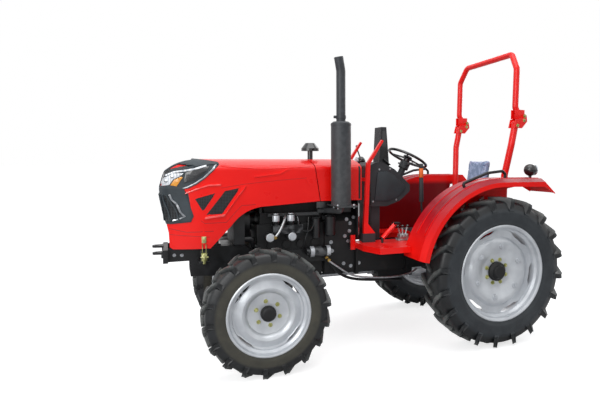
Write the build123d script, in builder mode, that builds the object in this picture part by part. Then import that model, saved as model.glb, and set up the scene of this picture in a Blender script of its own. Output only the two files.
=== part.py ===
from build123d import *
from math import asin, cos, degrees, pi, radians, sin, sqrt, tan
import os

# Four-wheel-drive farm tractor with an open operator station and a folding roll bar.
# X runs forward, Y to the tractor's left, Z up from the ground. The origin is on the
# ground under the middle of the whole machine. All sizes are in millimetres.

os.makedirs("parts", exist_ok=True)

# ---------------------------------------------------------------- driving dimensions
WHEELBASE = 2050.0
REAR_X = -960.0            # rear axle
FRONT_X = REAR_X + WHEELBASE

REAR_R = 675.0             # 11-32 tyre
REAR_W = 315.0
REAR_BEAD = 406.0
REAR_TRACK = 1350.0
FRONT_R = 497.5            # 8.3-24 tyre
FRONT_W = 211.0
FRONT_BEAD = 305.0
FRONT_TRACK = 1230.0
LUG_REAR = 34.0            # lug heights
LUG_FRONT = 27.0
REAR_LUG_COUNT = 20        # in each of a tyre's two rows
FRONT_LUG_COUNT = 18
REAR_Z = REAR_R * cos(pi / 2 / REAR_LUG_COUNT)      # the tyres stand on the tips of two lugs
FRONT_Z = FRONT_R * cos(pi / 2 / FRONT_LUG_COUNT)

CLEAR = 5.0                # between pieces that move past each other
FIT = 0.3                  # running clearance on a pin
SHEET = 5.0                # pressed panels

KINGPIN_Y = 430.0
BEAM_Z = 640.0             # front axle beam
PIVOT_Z = 600.0            # axis on which the beam rocks, also of the drive shaft
STEER_ARM = 170.0          # kingpin to steering ball
ARM_Z = 490.0              # steering arm, underside
ARM_T = 22.0

HOOD_HALF = 310.0          # half width of hood and cowl
HOOD_TOP = 1681.0
HOOD_EDGE = 1616.0         # where the crown meets the side
SEAM_X = 620.0             # gap between the cowl and the hood
SEAM_GAP = 10.0
COWL_REAR = 186.0
SKIRT_Z = 1320.0           # lower edge of the hood's sides at the seam
BELL_TOP = 1200.0          # clutch housing

FRAME_HALF = 160.0         # front frame rails, outer faces
TRANS_HALF = 170.0
DECK_TOP = 931.0           # footboards
DECK_BOTTOM = 880.0
DECK_OUT = 620.0
DECK_FRONT = 215.0
RISER_TOP = 1010.0         # the dash posts stand on risers
DECK_REAR = -146.0         # where the outer part of the deck meets the fender

FENDER_IN = REAR_TRACK / 2 - 180
FENDER_OUT = REAR_TRACK / 2 + 155
FENDER_R = 833.0           # top surface, about the rear axle
FENDER_TIP = -1505.0
FENDER_BEND = -1389.0      # the flat top falls behind this
FENDER_DROP = 128.0

ROPS_TUBE = 32.0           # tube radius
ROPS_HALF = 480.0
ROPS_HINGE = (-1392.0, 2050.0)
ROPS_TOP = 2692.0
ROPS_CHEEK = 33.0          # middle of a post to its hinge plates
ROPS_PIN = 10.0

LINK_PIVOT = (-1090.0, 470.0)      # lower links on the rear axle: x, z
LINK_BALL = (-1898.0, 440.0)
LINK_Y = 300.0
LIFT_PIVOT = (-1080.0, 985.0)      # lift arm shaft
LIFT_ARM = 300.0                   # also where the lift rod meets the lower link
TOP_PIVOT = (-1190.0, 850.0)
LINK_DROP = LIFT_ARM * (LINK_PIVOT[1] - LINK_BALL[1]) / (LINK_PIVOT[0] - LINK_BALL[0])


# ---------------------------------------------------------------- drawing helpers
def side_plane(y):
    """Plane seen from the left: its x is X, its y is Z, extrusions go towards -Y."""
    return Plane(origin=(0, y, 0), x_dir=(1, 0, 0), z_dir=(0, -1, 0))


def cross_plane(x, z=0.0):
    """Plane across the tractor: its x is Y, its y is Z, extrusions go towards +X."""
    return Plane(origin=(x, 0, z), x_dir=(0, 1, 0), z_dir=(1, 0, 0))


def block(x, y, z, mode=Mode.ADD):
    """Box from its spans along X, Y and Z."""
    with Locations(((x[0] + x[1]) / 2, (y[0] + y[1]) / 2, (z[0] + z[1]) / 2)):
        Box(x[1] - x[0], y[1] - y[0], z[1] - z[0], mode=mode)


def rod(start, end, radius, mode=Mode.ADD, tip=None):
    """Round bar from start to end, or a cone when a tip radius is given."""
    run = Vector(*end) - Vector(*start)
    seat = Plane(origin=start, z_dir=run)
    with BuildSketch(seat) as foot:
        Circle(radius)
    if tip is None:
        extrude(foot.sketch, amount=run.length, mode=mode)
        return
    with BuildSketch(seat.offset(run.length)) as head:
        Circle(tip)
    loft([foot.sketch, head.sketch], mode=mode)


def pipe(points, radius, bend):
    """Round pipe along straight runs joined by tangent bends."""
    with BuildLine() as route:
        FilletPolyline(*points, radius=bend)
    with BuildSketch(Plane(origin=points[0], z_dir=Vector(*points[1]) - Vector(*points[0]))) as bore:
        Circle(radius)
    sweep(bore.sketch, path=route.wires()[0])


def plate(plane, points, thickness, mode=Mode.ADD, both=False):
    """Flat plate with a straight-edged outline."""
    with BuildSketch(plane) as outline:
        with BuildLine():
            Polyline(*points, close=True)
        make_face()
    extrude(outline.sketch, amount=thickness, mode=mode, both=both)


def turned(x, z, points, mode=Mode.ADD):
    """Body turned about the line along Y through (x, z); points are (y, radius)."""
    with BuildSketch(cross_plane(x, z)) as section:
        with BuildLine():
            Polyline(*points, close=True)
        make_face()
    revolve(section.sketch, axis=Axis((x, 0, z), (0, 1, 0)), mode=mode)


def upright(x, y, points, mode=Mode.ADD):
    """Body turned about the vertical through (x, y); points are (radius, z)."""
    with BuildSketch(Plane(origin=(x, y, 0), x_dir=(1, 0, 0), z_dir=(0, -1, 0))) as section:
        with BuildLine():
            Polyline(*points, close=True)
        make_face()
    revolve(section.sketch, axis=Axis((x, y, 0), (0, 0, 1)), mode=mode)


# ---------------------------------------------------------------- wheels
def lug(x, z, middle, side, radius, width, height, thick, lean):
    """One chevron bar at the top of a tyre, from its middle to one shoulder."""
    half = width / 2
    reach = half * tan(lean) + thick            # how far the bar trails along the tread
    top = sqrt(radius ** 2 - (reach / 2) ** 2)
    low = radius - height - 58
    with BuildPart() as bar:
        with BuildSketch(Plane(origin=(x, middle, z + low))) as plan:
            with BuildLine():
                Polyline((reach / 2, -side * 8), (reach / 2 - thick, -side * 8),
                         (-reach / 2, side * half), (thick - reach / 2, side * half), close=True)
            make_face()
        extrude(amount=top - low)
        with BuildSketch(cross_plane(x - radius, z)) as profile:
            with BuildLine():
                Polyline((middle - side * 9, low), (middle - side * 9, top),
                         (middle + side * half * 0.8, top), (middle + side * half, top - 0.3 * half),
                         (middle + side * half, low), close=True)
            make_face()
        extrude(amount=2 * radius, mode=Mode.INTERSECT)
    lead = degrees(asin(reach / 2 / radius))    # turn that brings the bar's tip upright
    return bar.part, lead


def tyre(x, z, middle, radius, width, bead, flange, seat, height, count, thick):
    """Tyre with two rows of staggered chevron lugs, for use inside its own block."""
    half = width / 2
    base = radius - height
    bulge = bead + 0.42 * (base - bead)
    turned(x, z, [(middle - seat, bead), (middle - seat, flange + 1), (middle - half, bulge),
                  (middle - 0.8 * half, base), (middle + 0.8 * half, base),
                  (middle + half, bulge), (middle + seat, flange + 1), (middle + seat, bead)])
    axle = Axis((x, 0, z), (0, 1, 0))
    step = 360 / count
    for side, start in ((1, 0.25), (-1, 0.75)):
        bar, lead = lug(x, z, middle, side, radius, width, height, thick, radians(43))
        add([bar.rotate(axle, (start + k) * step - lead) for k in range(count)])


def rim(x, z, middle, bead, flange, half):
    """Channel rim with an upright flange at each edge."""
    barrel = bead - RIM_WALL
    turned(x, z, [(middle - half, barrel), (middle - half, flange), (middle - half + LIP, flange),
                  (middle - half + LIP, bead), (middle + half - LIP, bead), (middle + half - LIP, flange),
                  (middle + half, flange), (middle + half, barrel)])


LIP = 7.0                  # rim flange
RIM_WALL = 9.0
REAR_FLANGE = 432.0
REAR_RIM_HALF = 149.0
FRONT_FLANGE = 324.0
FRONT_RIM_HALF = 106.0
HUB_INNER = 500.0          # inner end of the front hub
REAR_HUB_INNER = 532.0


def front_tyre(side):
    tyre(FRONT_X, FRONT_Z, side * FRONT_TRACK / 2, FRONT_R, FRONT_W, FRONT_BEAD, FRONT_FLANGE,
         FRONT_RIM_HALF - LIP, LUG_FRONT, FRONT_LUG_COUNT, 30)


def rear_tyre(side):
    tyre(REAR_X, REAR_Z, side * REAR_TRACK / 2, REAR_R, REAR_W, REAR_BEAD, REAR_FLANGE,
         REAR_RIM_HALF - LIP, LUG_REAR, REAR_LUG_COUNT, 40)


def disc(x, z, middle, side, outline, thick, slots):
    """Pressed wheel disc; slots are (circle radius, count, first angle, length, width)."""
    circle, count, start, length, width = slots
    back = [(y - thick, r) for y, r in reversed(outline)]
    with BuildPart() as pressing:
        turned(x, z, [(middle + side * y, r) for y, r in outline + back])
        with BuildSketch(Plane(origin=(x, middle, z), x_dir=(1, 0, 0), z_dir=(0, -1, 0))) as cuts:
            with PolarLocations(circle, count, start_angle=start):
                SlotOverall(length, width, rotation=90)
        extrude(cuts.sketch, amount=120, both=True, mode=Mode.SUBTRACT)
    return pressing.part


def front_rim(side):
    """Pressed front wheel: rim, dished disc with edge slots, hub and cap."""
    x, z, middle = FRONT_X, FRONT_Z, side * FRONT_TRACK / 2
    dish = [(46, FRONT_BEAD - 7), (46, 250), (66, 206), (58, 190), (26, 140), (26, 0)]
    rim(x, z, middle, FRONT_BEAD, FRONT_FLANGE, FRONT_RIM_HALF)
    add(disc(x, z, middle, side, dish, 9, (272, 4, 42, 170, 26)))
    turned(x, z, [(side * HUB_INNER, 0), (side * HUB_INNER, 62), (side * (HUB_INNER + 65), 62),
                  (side * (HUB_INNER + 65), 120), (middle + side * 18, 120), (middle + side * 18, 0)])
    turned(x, z, [(middle + side * 26, 0), (middle + side * 26, 60), (middle + side * 62, 60),
                  (middle + side * 78, 42), (middle + side * 78, 0)])


def rear_rim(side):
    """Heavy rear wheel: rim, dished disc with a lobed edge, hub and cap."""
    x, z, middle = REAR_X, REAR_Z, side * REAR_TRACK / 2
    dish = [(60, REAR_BEAD - 7), (60, 318), (84, 285), (84, 255), (40, 160), (40, 0)]
    rim(x, z, middle, REAR_BEAD, REAR_FLANGE, REAR_RIM_HALF)
    add(disc(x, z, middle, side, dish, 10, (370, 6, 8, 190, 46)))
    turned(x, z, [(side * REAR_HUB_INNER, 0), (side * REAR_HUB_INNER, 84), (middle - side * 10, 84),
                  (middle - side * 10, 130), (middle + side * 30, 130), (middle + side * 30, 0)])
    turned(x, z, [(middle + side * 40, 0), (middle + side * 40, 85), (middle + side * 60, 85),
                  (middle + side * 100, 60), (middle + side * 100, 0)])


with BuildPart() as tyre_front_left:
    front_tyre(1)
tyre_front_left.part.label = "tyre_front_left"
export_step(tyre_front_left.part, "parts/tyre_front_left.step")

with BuildPart() as tyre_front_right:
    front_tyre(-1)
tyre_front_right.part.label = "tyre_front_right"
export_step(tyre_front_right.part, "parts/tyre_front_right.step")

with BuildPart() as tyre_rear_left:
    rear_tyre(1)
tyre_rear_left.part.label = "tyre_rear_left"
export_step(tyre_rear_left.part, "parts/tyre_rear_left.step")

with BuildPart() as tyre_rear_right:
    rear_tyre(-1)
tyre_rear_right.part.label = "tyre_rear_right"
export_step(tyre_rear_right.part, "parts/tyre_rear_right.step")

with BuildPart() as rim_front_left:
    front_rim(1)
rim_front_left.part.label = "rim_front_left"
export_step(rim_front_left.part, "parts/rim_front_left.step")

with BuildPart() as rim_front_right:
    front_rim(-1)
rim_front_right.part.label = "rim_front_right"
export_step(rim_front_right.part, "parts/rim_front_right.step")

with BuildPart() as rim_rear_left:
    rear_rim(1)
rim_rear_left.part.label = "rim_rear_left"
export_step(rim_rear_left.part, "parts/rim_rear_left.step")

with BuildPart() as rim_rear_right:
    rear_rim(-1)
rim_rear_right.part.label = "rim_rear_right"
export_step(rim_rear_right.part, "parts/rim_rear_right.step")

# ---------------------------------------------------------------- engine
FAN_Z = 1150.0
FAN_R = 165.0
ENGINE_REAR = 480.0
ENGINE_FRONT = 1090.0
FAN_X = ENGINE_FRONT + 70
BLOCK_HALF = 150.0
BLOCK_LOW = 760.0
HEAD_TOP = 1215.0

with BuildPart() as engine_block:
    block((ENGINE_REAR, ENGINE_FRONT), (-BLOCK_HALF, BLOCK_HALF), (BLOCK_LOW, 1120))
    block((ENGINE_REAR + 20, ENGINE_FRONT - 30), (-125, 125), (1120, HEAD_TOP))
    block((ENGINE_REAR + 50, ENGINE_FRONT - 70), (-80, 80), (HEAD_TOP, HEAD_TOP + 75))
    fillet(engine_block.edges().filter_by(Axis.Z), 12)
    plate(side_plane(120), [(ENGINE_REAR + 20, BLOCK_LOW + 5), (ENGINE_REAR + 20, 650), (ENGINE_REAR + 250, 645),
                            (ENGINE_REAR + 330, BLOCK_LOW - 15), (ENGINE_FRONT - 20, BLOCK_LOW - 10),
                            (ENGINE_FRONT - 20, BLOCK_LOW + 5)], 240)
    for k in range(4):
        rod((ENGINE_REAR + 95 + 130 * k, BLOCK_HALF - 4, 940), (ENGINE_REAR + 95 + 130 * k, 168, 940), 34)
    rod((ENGINE_FRONT - 5, 0, 850), (ENGINE_FRONT + 40, 0, 850), 78)
    rod((ENGINE_FRONT - 5, 0, FAN_Z), (FAN_X - 15, 0, FAN_Z), 45)
engine_block.part.label = "engine_block"
export_step(engine_block.part, "parts/engine_block.step")

with BuildPart() as fuel_system:
    block((700, 960), (BLOCK_HALF, 225), (1040, 1115))
    for k in range(4):
        rod((735 + 60 * k, 195, 1110), (735 + 60 * k, 195, 1140), 12)
    for x in (803, 934):                # filter bowls
        upright(x, 215, [(0, 1112), (20, 1112), (30, 1150), (30, 1205), (22, 1216), (0, 1216)])
    for x in (796, 987):                # governor covers
        rod((x, BLOCK_HALF, 1014), (x, 236, 1014), 34)
fuel_system.part.label = "fuel_system"
export_step(fuel_system.part, "parts/fuel_system.step")

with BuildPart() as filters:
    block((ENGINE_REAR - 70, ENGINE_REAR + 30), (BLOCK_HALF, 190), (1145, 1175))
    upright(ENGINE_REAR - 28, 225, [(0, 1000), (38, 1000), (48, 1014), (48, 1172), (30, 1190), (0, 1190)])
    block((ENGINE_REAR + 60, ENGINE_REAR + 130), (BLOCK_HALF, 200), (1150, 1170))
    upright(ENGINE_REAR + 95, 205, [(0, 990), (36, 990), (36, 1160), (0, 1160)])
filters.part.label = "filters"
export_step(filters.part, "parts/filters.step")

TANK_FRONT = ENGINE_REAR + 110
with BuildPart() as fuel_tank:
    block((COWL_REAR + 30, TANK_FRONT), (-250, 250), (HEAD_TOP + 90, SKIRT_Z + 170))
    fillet(fuel_tank.edges().filter_by(Axis.X), 30)
    block((COWL_REAR + 44, ENGINE_REAR - 60), (-150, 150), (BELL_TOP, HEAD_TOP + 100))
fuel_tank.part.label = "fuel_tank"
export_step(fuel_tank.part, "parts/fuel_tank.step")

with BuildPart() as alternator:
    rod((930, -225, 1080), (1050, -225, 1080), 62)
    rod((1045, -225, 1080), (1078, -225, 1080), 36)
    block((950, 1040), (-185, -BLOCK_HALF), (1060, 1100))
    rod((500, -205, 960), (700, -205, 960), 52)
    block((520, 640), (-175, -BLOCK_HALF), (940, 980))
    rod((450, FRAME_HALF + 50, 868), (640, FRAME_HALF + 50, 868), 46)
    rod((640, FRAME_HALF + 50, 868), (668, FRAME_HALF + 50, 868), 30)
    block((500, 590), (FRAME_HALF, FRAME_HALF + 20), (845, 875))
alternator.part.label = "alternator_starter"
export_step(alternator.part, "parts/alternator_starter.step")

with BuildPart() as fan:
    rod((FAN_X - 12, 0, FAN_Z), (FAN_X + 22, 0, FAN_Z), 52)
    with BuildSketch(Plane(origin=(FAN_X - 8, 0, FAN_Z), x_dir=(0, 1, 0), z_dir=(1, 0, 0))) as blades:
        with PolarLocations(FAN_R - 62, 7):
            Rectangle(118, 48)
    extrude(blades.sketch, amount=9)
fan.part.label = "fan"
export_step(fan.part, "parts/fan.step")

FRAME_TOP = 957.0
RAD_X = (FAN_X + 40, FAN_X + 130)       # core, rear and front face
RAD_HALF = 235.0
RAD_TOP = 1340.0
HOSE_R = 24.0
HOSE_Y = FAN_R + 40                     # the hoses pass beside the fan
HOSE_Z = RAD_TOP - 50                   # and leave it just under its top

with BuildPart() as radiator:
    block(RAD_X, (-RAD_HALF, RAD_HALF), (FRAME_TOP, RAD_TOP))
    fillet(radiator.edges().filter_by(Axis.X), 18)
    rod((RAD_X[0] + 5, 0, FAN_Z), (RAD_X[0] - 52, 0, FAN_Z), FAN_R + 17)
    rod((RAD_X[0] + 1, 0, FAN_Z), (RAD_X[0] - 60, 0, FAN_Z), FAN_R + 8, mode=Mode.SUBTRACT)
    middle = sum(RAD_X) / 2
    rod((middle, 0, RAD_TOP - 5), (middle, 0, RAD_TOP + 22), 30)
    pipe([(RAD_X[0] + 5, HOSE_Y, HOSE_Z), (ENGINE_FRONT, HOSE_Y, HOSE_Z), (ENGINE_FRONT - 45, 95, HOSE_Z),
          (ENGINE_FRONT - 45, 95, HEAD_TOP)], HOSE_R, 34)
    pipe([(RAD_X[0] + 5, HOSE_Y, 1010), (ENGINE_FRONT + 50, HOSE_Y, 1010), (ENGINE_FRONT + 30, 120, 930),
          (ENGINE_FRONT, 120, 930)], HOSE_R, 20)
radiator.part.label = "radiator"
export_step(radiator.part, "parts/radiator.step")

TRAY_TOP = FRAME_TOP + 19
BATTERY_H = 184.0

with BuildPart() as battery:
    block((1400, 1610), (-130, 130), (TRAY_TOP - 1, TRAY_TOP + BATTERY_H))
    fillet(battery.edges().filter_by(Axis.Z), 10)
    for y in (-80, 80):
        rod((1430, y, TRAY_TOP + BATTERY_H - 2), (1430, y, TRAY_TOP + BATTERY_H + 20), 12)
    block((1385, 1625), (-145, 145), (FRAME_TOP, TRAY_TOP))
battery.part.label = "battery"
export_step(battery.part, "parts/battery.step")

# ---------------------------------------------------------------- front frame and axle
FRAME_FRONT = 1838.0
FRAME_T = 10.0             # rails
STEP_X = 1630.0            # the rails are deeper behind this
BRACKET_AT = 112.0         # axle brackets, from the axle
BRACKET_T = 22.0
TRUNNION_R = 34.0
with BuildPart() as front_frame:
    rail = [(ENGINE_REAR - 10, 770), (880, 770), (920, 700), (1000, 700), (1020, 740), (1160, 740), (1180, 700),
            (1290, 700), (1560, 719), (STEP_X, 719), (STEP_X, 850), (FRAME_FRONT, 850), (FRAME_FRONT, FRAME_TOP), (RAD_X[0] - 10, FRAME_TOP), (RAD_X[0] - 80, 890),
            (ENGINE_REAR - 10, 880)]
    plate(side_plane(FRAME_HALF), rail, FRAME_T)
    plate(side_plane(-FRAME_HALF + FRAME_T), rail, FRAME_T)
    block((1800, FRAME_FRONT), (-215, 215), (850, FRAME_TOP))
    block((STEP_X - 70, STEP_X), (-FRAME_HALF, FRAME_HALF), (719, 752))
    block((RAD_X[0] - 5, 1560), (-FRAME_HALF + 5, FRAME_HALF - 5), (928, FRAME_TOP))
    for x in (FRONT_X - BRACKET_AT - BRACKET_T, FRONT_X + BRACKET_AT):
        plate(cross_plane(x), [(-FRAME_HALF + 3, 700), (-62, PIVOT_Z), (62, PIVOT_Z),
                               (FRAME_HALF - 3, 700), (FRAME_HALF - 3, 742), (-FRAME_HALF + 3, 742)], BRACKET_T)
        rod((x, 0, PIVOT_Z), (x + BRACKET_T, 0, PIVOT_Z), 62)
        rod((x - 1, 0, PIVOT_Z), (x + BRACKET_T + 1, 0, PIVOT_Z), TRUNNION_R + FIT, mode=Mode.SUBTRACT)
    for z in (902, 961):
        with BuildSketch(Plane.XY.offset(z - 9)) as ear:
            with BuildLine():
                Polyline((FRAME_FRONT - 4, -45), (1890, -32), (1890, 32), (FRAME_FRONT - 4, 45), close=True)
            make_face()
            with Locations((1888, 0)):
                Circle(32)
                Circle(13, mode=Mode.SUBTRACT)
        extrude(ear.sketch, amount=18)
    block((FRAME_FRONT - 4, FRAME_FRONT + 6), (-60, 60), (880, 970))
    for y in (-185, 185):
        rod((FRAME_FRONT - 20, y, 905), (FRAME_FRONT + 12, y, 905), 15)
front_frame.part.label = "front_frame"
export_step(front_frame.part, "parts/front_frame.step")

BEAM_END = KINGPIN_Y - 62
BOSS_LOW = BEAM_Z - 58     # underside of the beam's end, over the knuckle
SHAFT_END = 205.0          # axle to the end of the drive shaft
PIVOT_Y = -36.0
EYE_Z = 540.0
with BuildPart() as front_axle_beam:
    case = [(0, 0), (0, 104), (45, 104), (92, 60), (BEAM_END, 60), (BEAM_END, 0)]
    turned(FRONT_X, BEAM_Z, case)
    turned(FRONT_X, BEAM_Z, [(-y, r) for y, r in case])
    for side in (-1, 1):
        upright(FRONT_X, side * KINGPIN_Y, [(0, BOSS_LOW), (70, BOSS_LOW), (70, BEAM_Z + 40), (50, BEAM_Z + 64),
                                            (0, BEAM_Z + 64)])
    rod((FRONT_X - 104, 0, PIVOT_Z), (FRONT_X + 104, 0, PIVOT_Z), 50)
    rod((FRONT_X - SHAFT_END, 0, PIVOT_Z), (FRONT_X + BRACKET_AT + BRACKET_T + 28, 0, PIVOT_Z), TRUNNION_R)
    arm_x = FRONT_X + STEER_ARM
    plate(Plane.XY.offset(570), [(FRONT_X + BRACKET_AT + BRACKET_T + 4, -30), (arm_x - 20, PIVOT_Y - 44),
                                 (arm_x + 20, PIVOT_Y - 44), (arm_x + 20, PIVOT_Y + 8), (arm_x - 6, 30),
                                 (FRONT_X + BRACKET_AT + BRACKET_T + 4, 30)], 14)
    rod((arm_x, PIVOT_Y - 18, 572), (arm_x, PIVOT_Y - 18, 516), 12)
front_axle_beam.part.label = "front_axle_beam"
export_step(front_axle_beam.part, "parts/front_axle_beam.step")


def knuckle(side):
    """Lower gear case that turns about the kingpin, with its hub flange and arm."""
    y = side * KINGPIN_Y
    upright(FRONT_X, y, [(0, 395), (45, 395), (68, 425), (68, BOSS_LOW - CLEAR), (0, BOSS_LOW - CLEAR)])
    turned(FRONT_X, FRONT_Z, [(y, 0), (y, 60), (side * (HUB_INNER - CLEAR), 74), (side * (HUB_INNER - CLEAR), 0)])
    arm = [(FRONT_X, y - 26), (FRONT_X + STEER_ARM, y - 20), (FRONT_X + STEER_ARM, y + 20), (FRONT_X, y + 26)]
    plate(Plane.XY.offset(ARM_Z), arm, ARM_T)
    with Locations((FRONT_X + STEER_ARM, y, ARM_Z + ARM_T / 2)):
        Cylinder(20, ARM_T)


with BuildPart() as knuckle_left:
    knuckle(1)
knuckle_left.part.label = "knuckle_left"
export_step(knuckle_left.part, "parts/knuckle_left.step")

with BuildPart() as knuckle_right:
    knuckle(-1)
knuckle_right.part.label = "knuckle_right"
export_step(knuckle_right.part, "parts/knuckle_right.step")

TIE_Z = 466.0
with BuildPart() as tie_rod:
    rod((FRONT_X + STEER_ARM, -KINGPIN_Y, TIE_Z), (FRONT_X + STEER_ARM, KINGPIN_Y, TIE_Z), 14)
    for side in (-1, 1):
        with Locations((FRONT_X + STEER_ARM, side * KINGPIN_Y, TIE_Z + 2)):
            Cylinder(22, 38)
        rod((FRONT_X + STEER_ARM, side * (KINGPIN_Y - 120), TIE_Z),
            (FRONT_X + STEER_ARM, side * (KINGPIN_Y - 60), TIE_Z), 19)
tie_rod.part.label = "tie_rod"
export_step(tie_rod.part, "parts/tie_rod.step")

with BuildPart() as steering_cylinder:
    rod((FRONT_X + STEER_ARM, PIVOT_Y, EYE_Z), (FRONT_X + STEER_ARM, PIVOT_Y + 262, EYE_Z), 27)
    rod((FRONT_X + STEER_ARM, PIVOT_Y + 262 + FIT, EYE_Z), (FRONT_X + STEER_ARM, PIVOT_Y + 20, EYE_Z), 14 + FIT,
        mode=Mode.SUBTRACT)
    with Locations((FRONT_X + STEER_ARM, PIVOT_Y - 18, EYE_Z)):
        Cylinder(24, 40)
    with Locations((FRONT_X + STEER_ARM, PIVOT_Y - 18, EYE_Z)):
        Cylinder(12 + FIT, 60, mode=Mode.SUBTRACT)
steering_cylinder.part.label = "steering_cylinder"
export_step(steering_cylinder.part, "parts/steering_cylinder.step")

with BuildPart() as steering_piston:
    rod((FRONT_X + STEER_ARM, PIVOT_Y + 140, EYE_Z), (FRONT_X + STEER_ARM, KINGPIN_Y - 20, EYE_Z), 14)
    low = ARM_Z + ARM_T + 1
    with Locations((FRONT_X + STEER_ARM, KINGPIN_Y, (EYE_Z + 20 + low) / 2)):
        Cylinder(22, EYE_Z + 20 - low)
steering_piston.part.label = "steering_piston"
export_step(steering_piston.part, "parts/steering_piston.step")

# ---------------------------------------------------------------- driveline
TRANS_REAR = -1150.0
TRANSFER_FRONT = -60.0
with BuildPart() as transmission_case:
    block((-700, 180), (-TRANS_HALF, TRANS_HALF), (640, 872))
    plate(cross_plane(180), [(-150, 640), (150, 640), (150, 1120), (90, BELL_TOP), (-90, BELL_TOP), (-150, 1120)], 300)
    block((TRANS_REAR, -700), (-205, 205), (540, 900))
    block((-1120, -760), (-150, 150), (900, 1010))
    rod((LIFT_PIVOT[0], -185, LIFT_PIVOT[1]), (LIFT_PIVOT[0], 185, LIFT_PIVOT[1]), 52)
    fillet(transmission_case.edges().filter_by(Axis.X).group_by(Axis.Z)[-1], 20)
    for x in (180, -330, -700):
        block((x - 12, x + 12), (-TRANS_HALF - 16, TRANS_HALF + 16), (625, 875))
    block((-420, TRANSFER_FRONT), (-120, 120), (555, 645))
    for y in (-32, 20):
        block((TOP_PIVOT[0] - 22, TRANS_REAR + 5), (y + 6 - 12, y + 6 + 12), (TOP_PIVOT[1] - 30, TOP_PIVOT[1] + 30))
transmission_case.part.label = "transmission_case"
export_step(transmission_case.part, "parts/transmission_case.step")

with BuildPart() as rear_axle:
    for side in (-1, 1):
        turned(REAR_X, REAR_Z, [(side * 205, 0), (side * 205, 150), (side * 235, 150), (side * 300, 88),
                                (side * 495, 88), (side * 495, 112), (side * (REAR_HUB_INNER - CLEAR - 7), 112),
                                (side * (REAR_HUB_INNER - CLEAR - 7), 0)])
        plate(side_plane(side * LINK_Y + 10 + 40), [(-1040, 560), (-1040, 700), (-1100, 640), (-1112, 448), (-1068, 448)], 18)
        plate(side_plane(side * LINK_Y + 10 - 42), [(-1040, 560), (-1040, 700), (-1100, 640), (-1112, 448), (-1068, 448)], 18)
        rod((LINK_PIVOT[0], side * LINK_Y - 52, LINK_PIVOT[1]), (LINK_PIVOT[0], side * LINK_Y + 52, LINK_PIVOT[1]), 14)
rear_axle.part.label = "rear_axle"
export_step(rear_axle.part, "parts/rear_axle.step")

with BuildPart() as drive_shaft:
    rod((TRANSFER_FRONT, 0, PIVOT_Z), (FRONT_X - SHAFT_END, 0, PIVOT_Z), 21)
    rod((TRANSFER_FRONT, 0, PIVOT_Z), (TRANSFER_FRONT + 60, 0, PIVOT_Z), 30)
    rod((FRONT_X - SHAFT_END - 60, 0, PIVOT_Z), (FRONT_X - SHAFT_END, 0, PIVOT_Z), 30)
drive_shaft.part.label = "drive_shaft"
export_step(drive_shaft.part, "parts/drive_shaft.step")

with BuildPart() as drawbar:
    plate(Plane.XY.offset(360), [(-700, -35), (-1560, -35), (-1560, 35), (-700, 35)], 28)
    with Locations((-1560, 0, 374)):
        Cylinder(35, 28)
        Cylinder(15, 40, mode=Mode.SUBTRACT)
    block((-800, -700), (-60, 60), (388, 540))
    block((-1120, -1050), (-70, 70), (330, 360))
    block((-1120, -1050), (-70, -44), (330, 540))
    block((-1120, -1050), (44, 70), (330, 540))
drawbar.part.label = "drawbar"
export_step(drawbar.part, "parts/drawbar.step")

PTO_Z = 620.0
with BuildPart() as pto_shaft:
    rod((TRANS_REAR - CLEAR, 0, PTO_Z), (TRANS_REAR - 90, 0, PTO_Z), 17.5)
    with BuildSketch(cross_plane(TRANS_REAR - 90, PTO_Z)) as grooves:
        with PolarLocations(18.5, 6):
            Rectangle(5, 9, rotation=0)
    extrude(grooves.sketch, amount=62, mode=Mode.SUBTRACT)
pto_shaft.part.label = "pto_shaft"
export_step(pto_shaft.part, "parts/pto_shaft.step")

# ---------------------------------------------------------------- bodywork
def crown(x, half, edge, top, skirt):
    """Closed section of the hood: upright sides, rounded shoulders, arched top."""
    with BuildSketch(cross_plane(x)) as section:
        with BuildLine():
            Line((-half, edge), (-half, skirt))
            Line((-half, skirt), (half, skirt))
            Line((half, skirt), (half, edge))
            ThreePointArc((half, edge), (0, top), (-half, edge))
        make_face()
        fillet(section.vertices().group_by(Axis.Y)[-1], 42)
    return section.sketch


def cowl_solid(inset):
    """Fixed rear cowl, from the seam to the dashboard."""
    with BuildPart() as solid:
        extrude(crown(COWL_REAR - inset, HOOD_HALF - inset, HOOD_EDGE - inset, HOOD_TOP - inset, SKIRT_Z - inset),
                amount=SEAM_X - COWL_REAR + 2 * inset)
        fall = (HOOD_TOP - SKIRT_Z) * 0.17
        plate(side_plane(HOOD_HALF + 20), [(SEAM_X, HOOD_TOP + 20), (SEAM_X + 100, HOOD_TOP + 20),
                                           (SEAM_X + 100, SKIRT_Z - 20), (SEAM_X - fall, SKIRT_Z - 20)],
              2 * HOOD_HALF + 40, mode=Mode.SUBTRACT)
    return solid.part


INTAKE_X = 569.0
INTAKE_R = 24.0
COWL_HOLLOW = cowl_solid(SHEET)
with BuildPart() as rear_cowl:
    add(cowl_solid(0))
    add(COWL_HOLLOW, mode=Mode.SUBTRACT)
    extrude(crown(COWL_REAR, HOOD_HALF - 1, HOOD_EDGE - 1, HOOD_TOP - 1, SKIRT_Z + 5), amount=6)
    rod((INTAKE_X, 0, HOOD_TOP + 10), (INTAKE_X, 0, HOOD_TOP - 40), INTAKE_R, mode=Mode.SUBTRACT)
rear_cowl.part.label = "rear_cowl"
export_step(rear_cowl.part, "parts/rear_cowl.step")


CHIN_Z = FRAME_TOP + 11     # lower edge of the hood's nose


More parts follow.
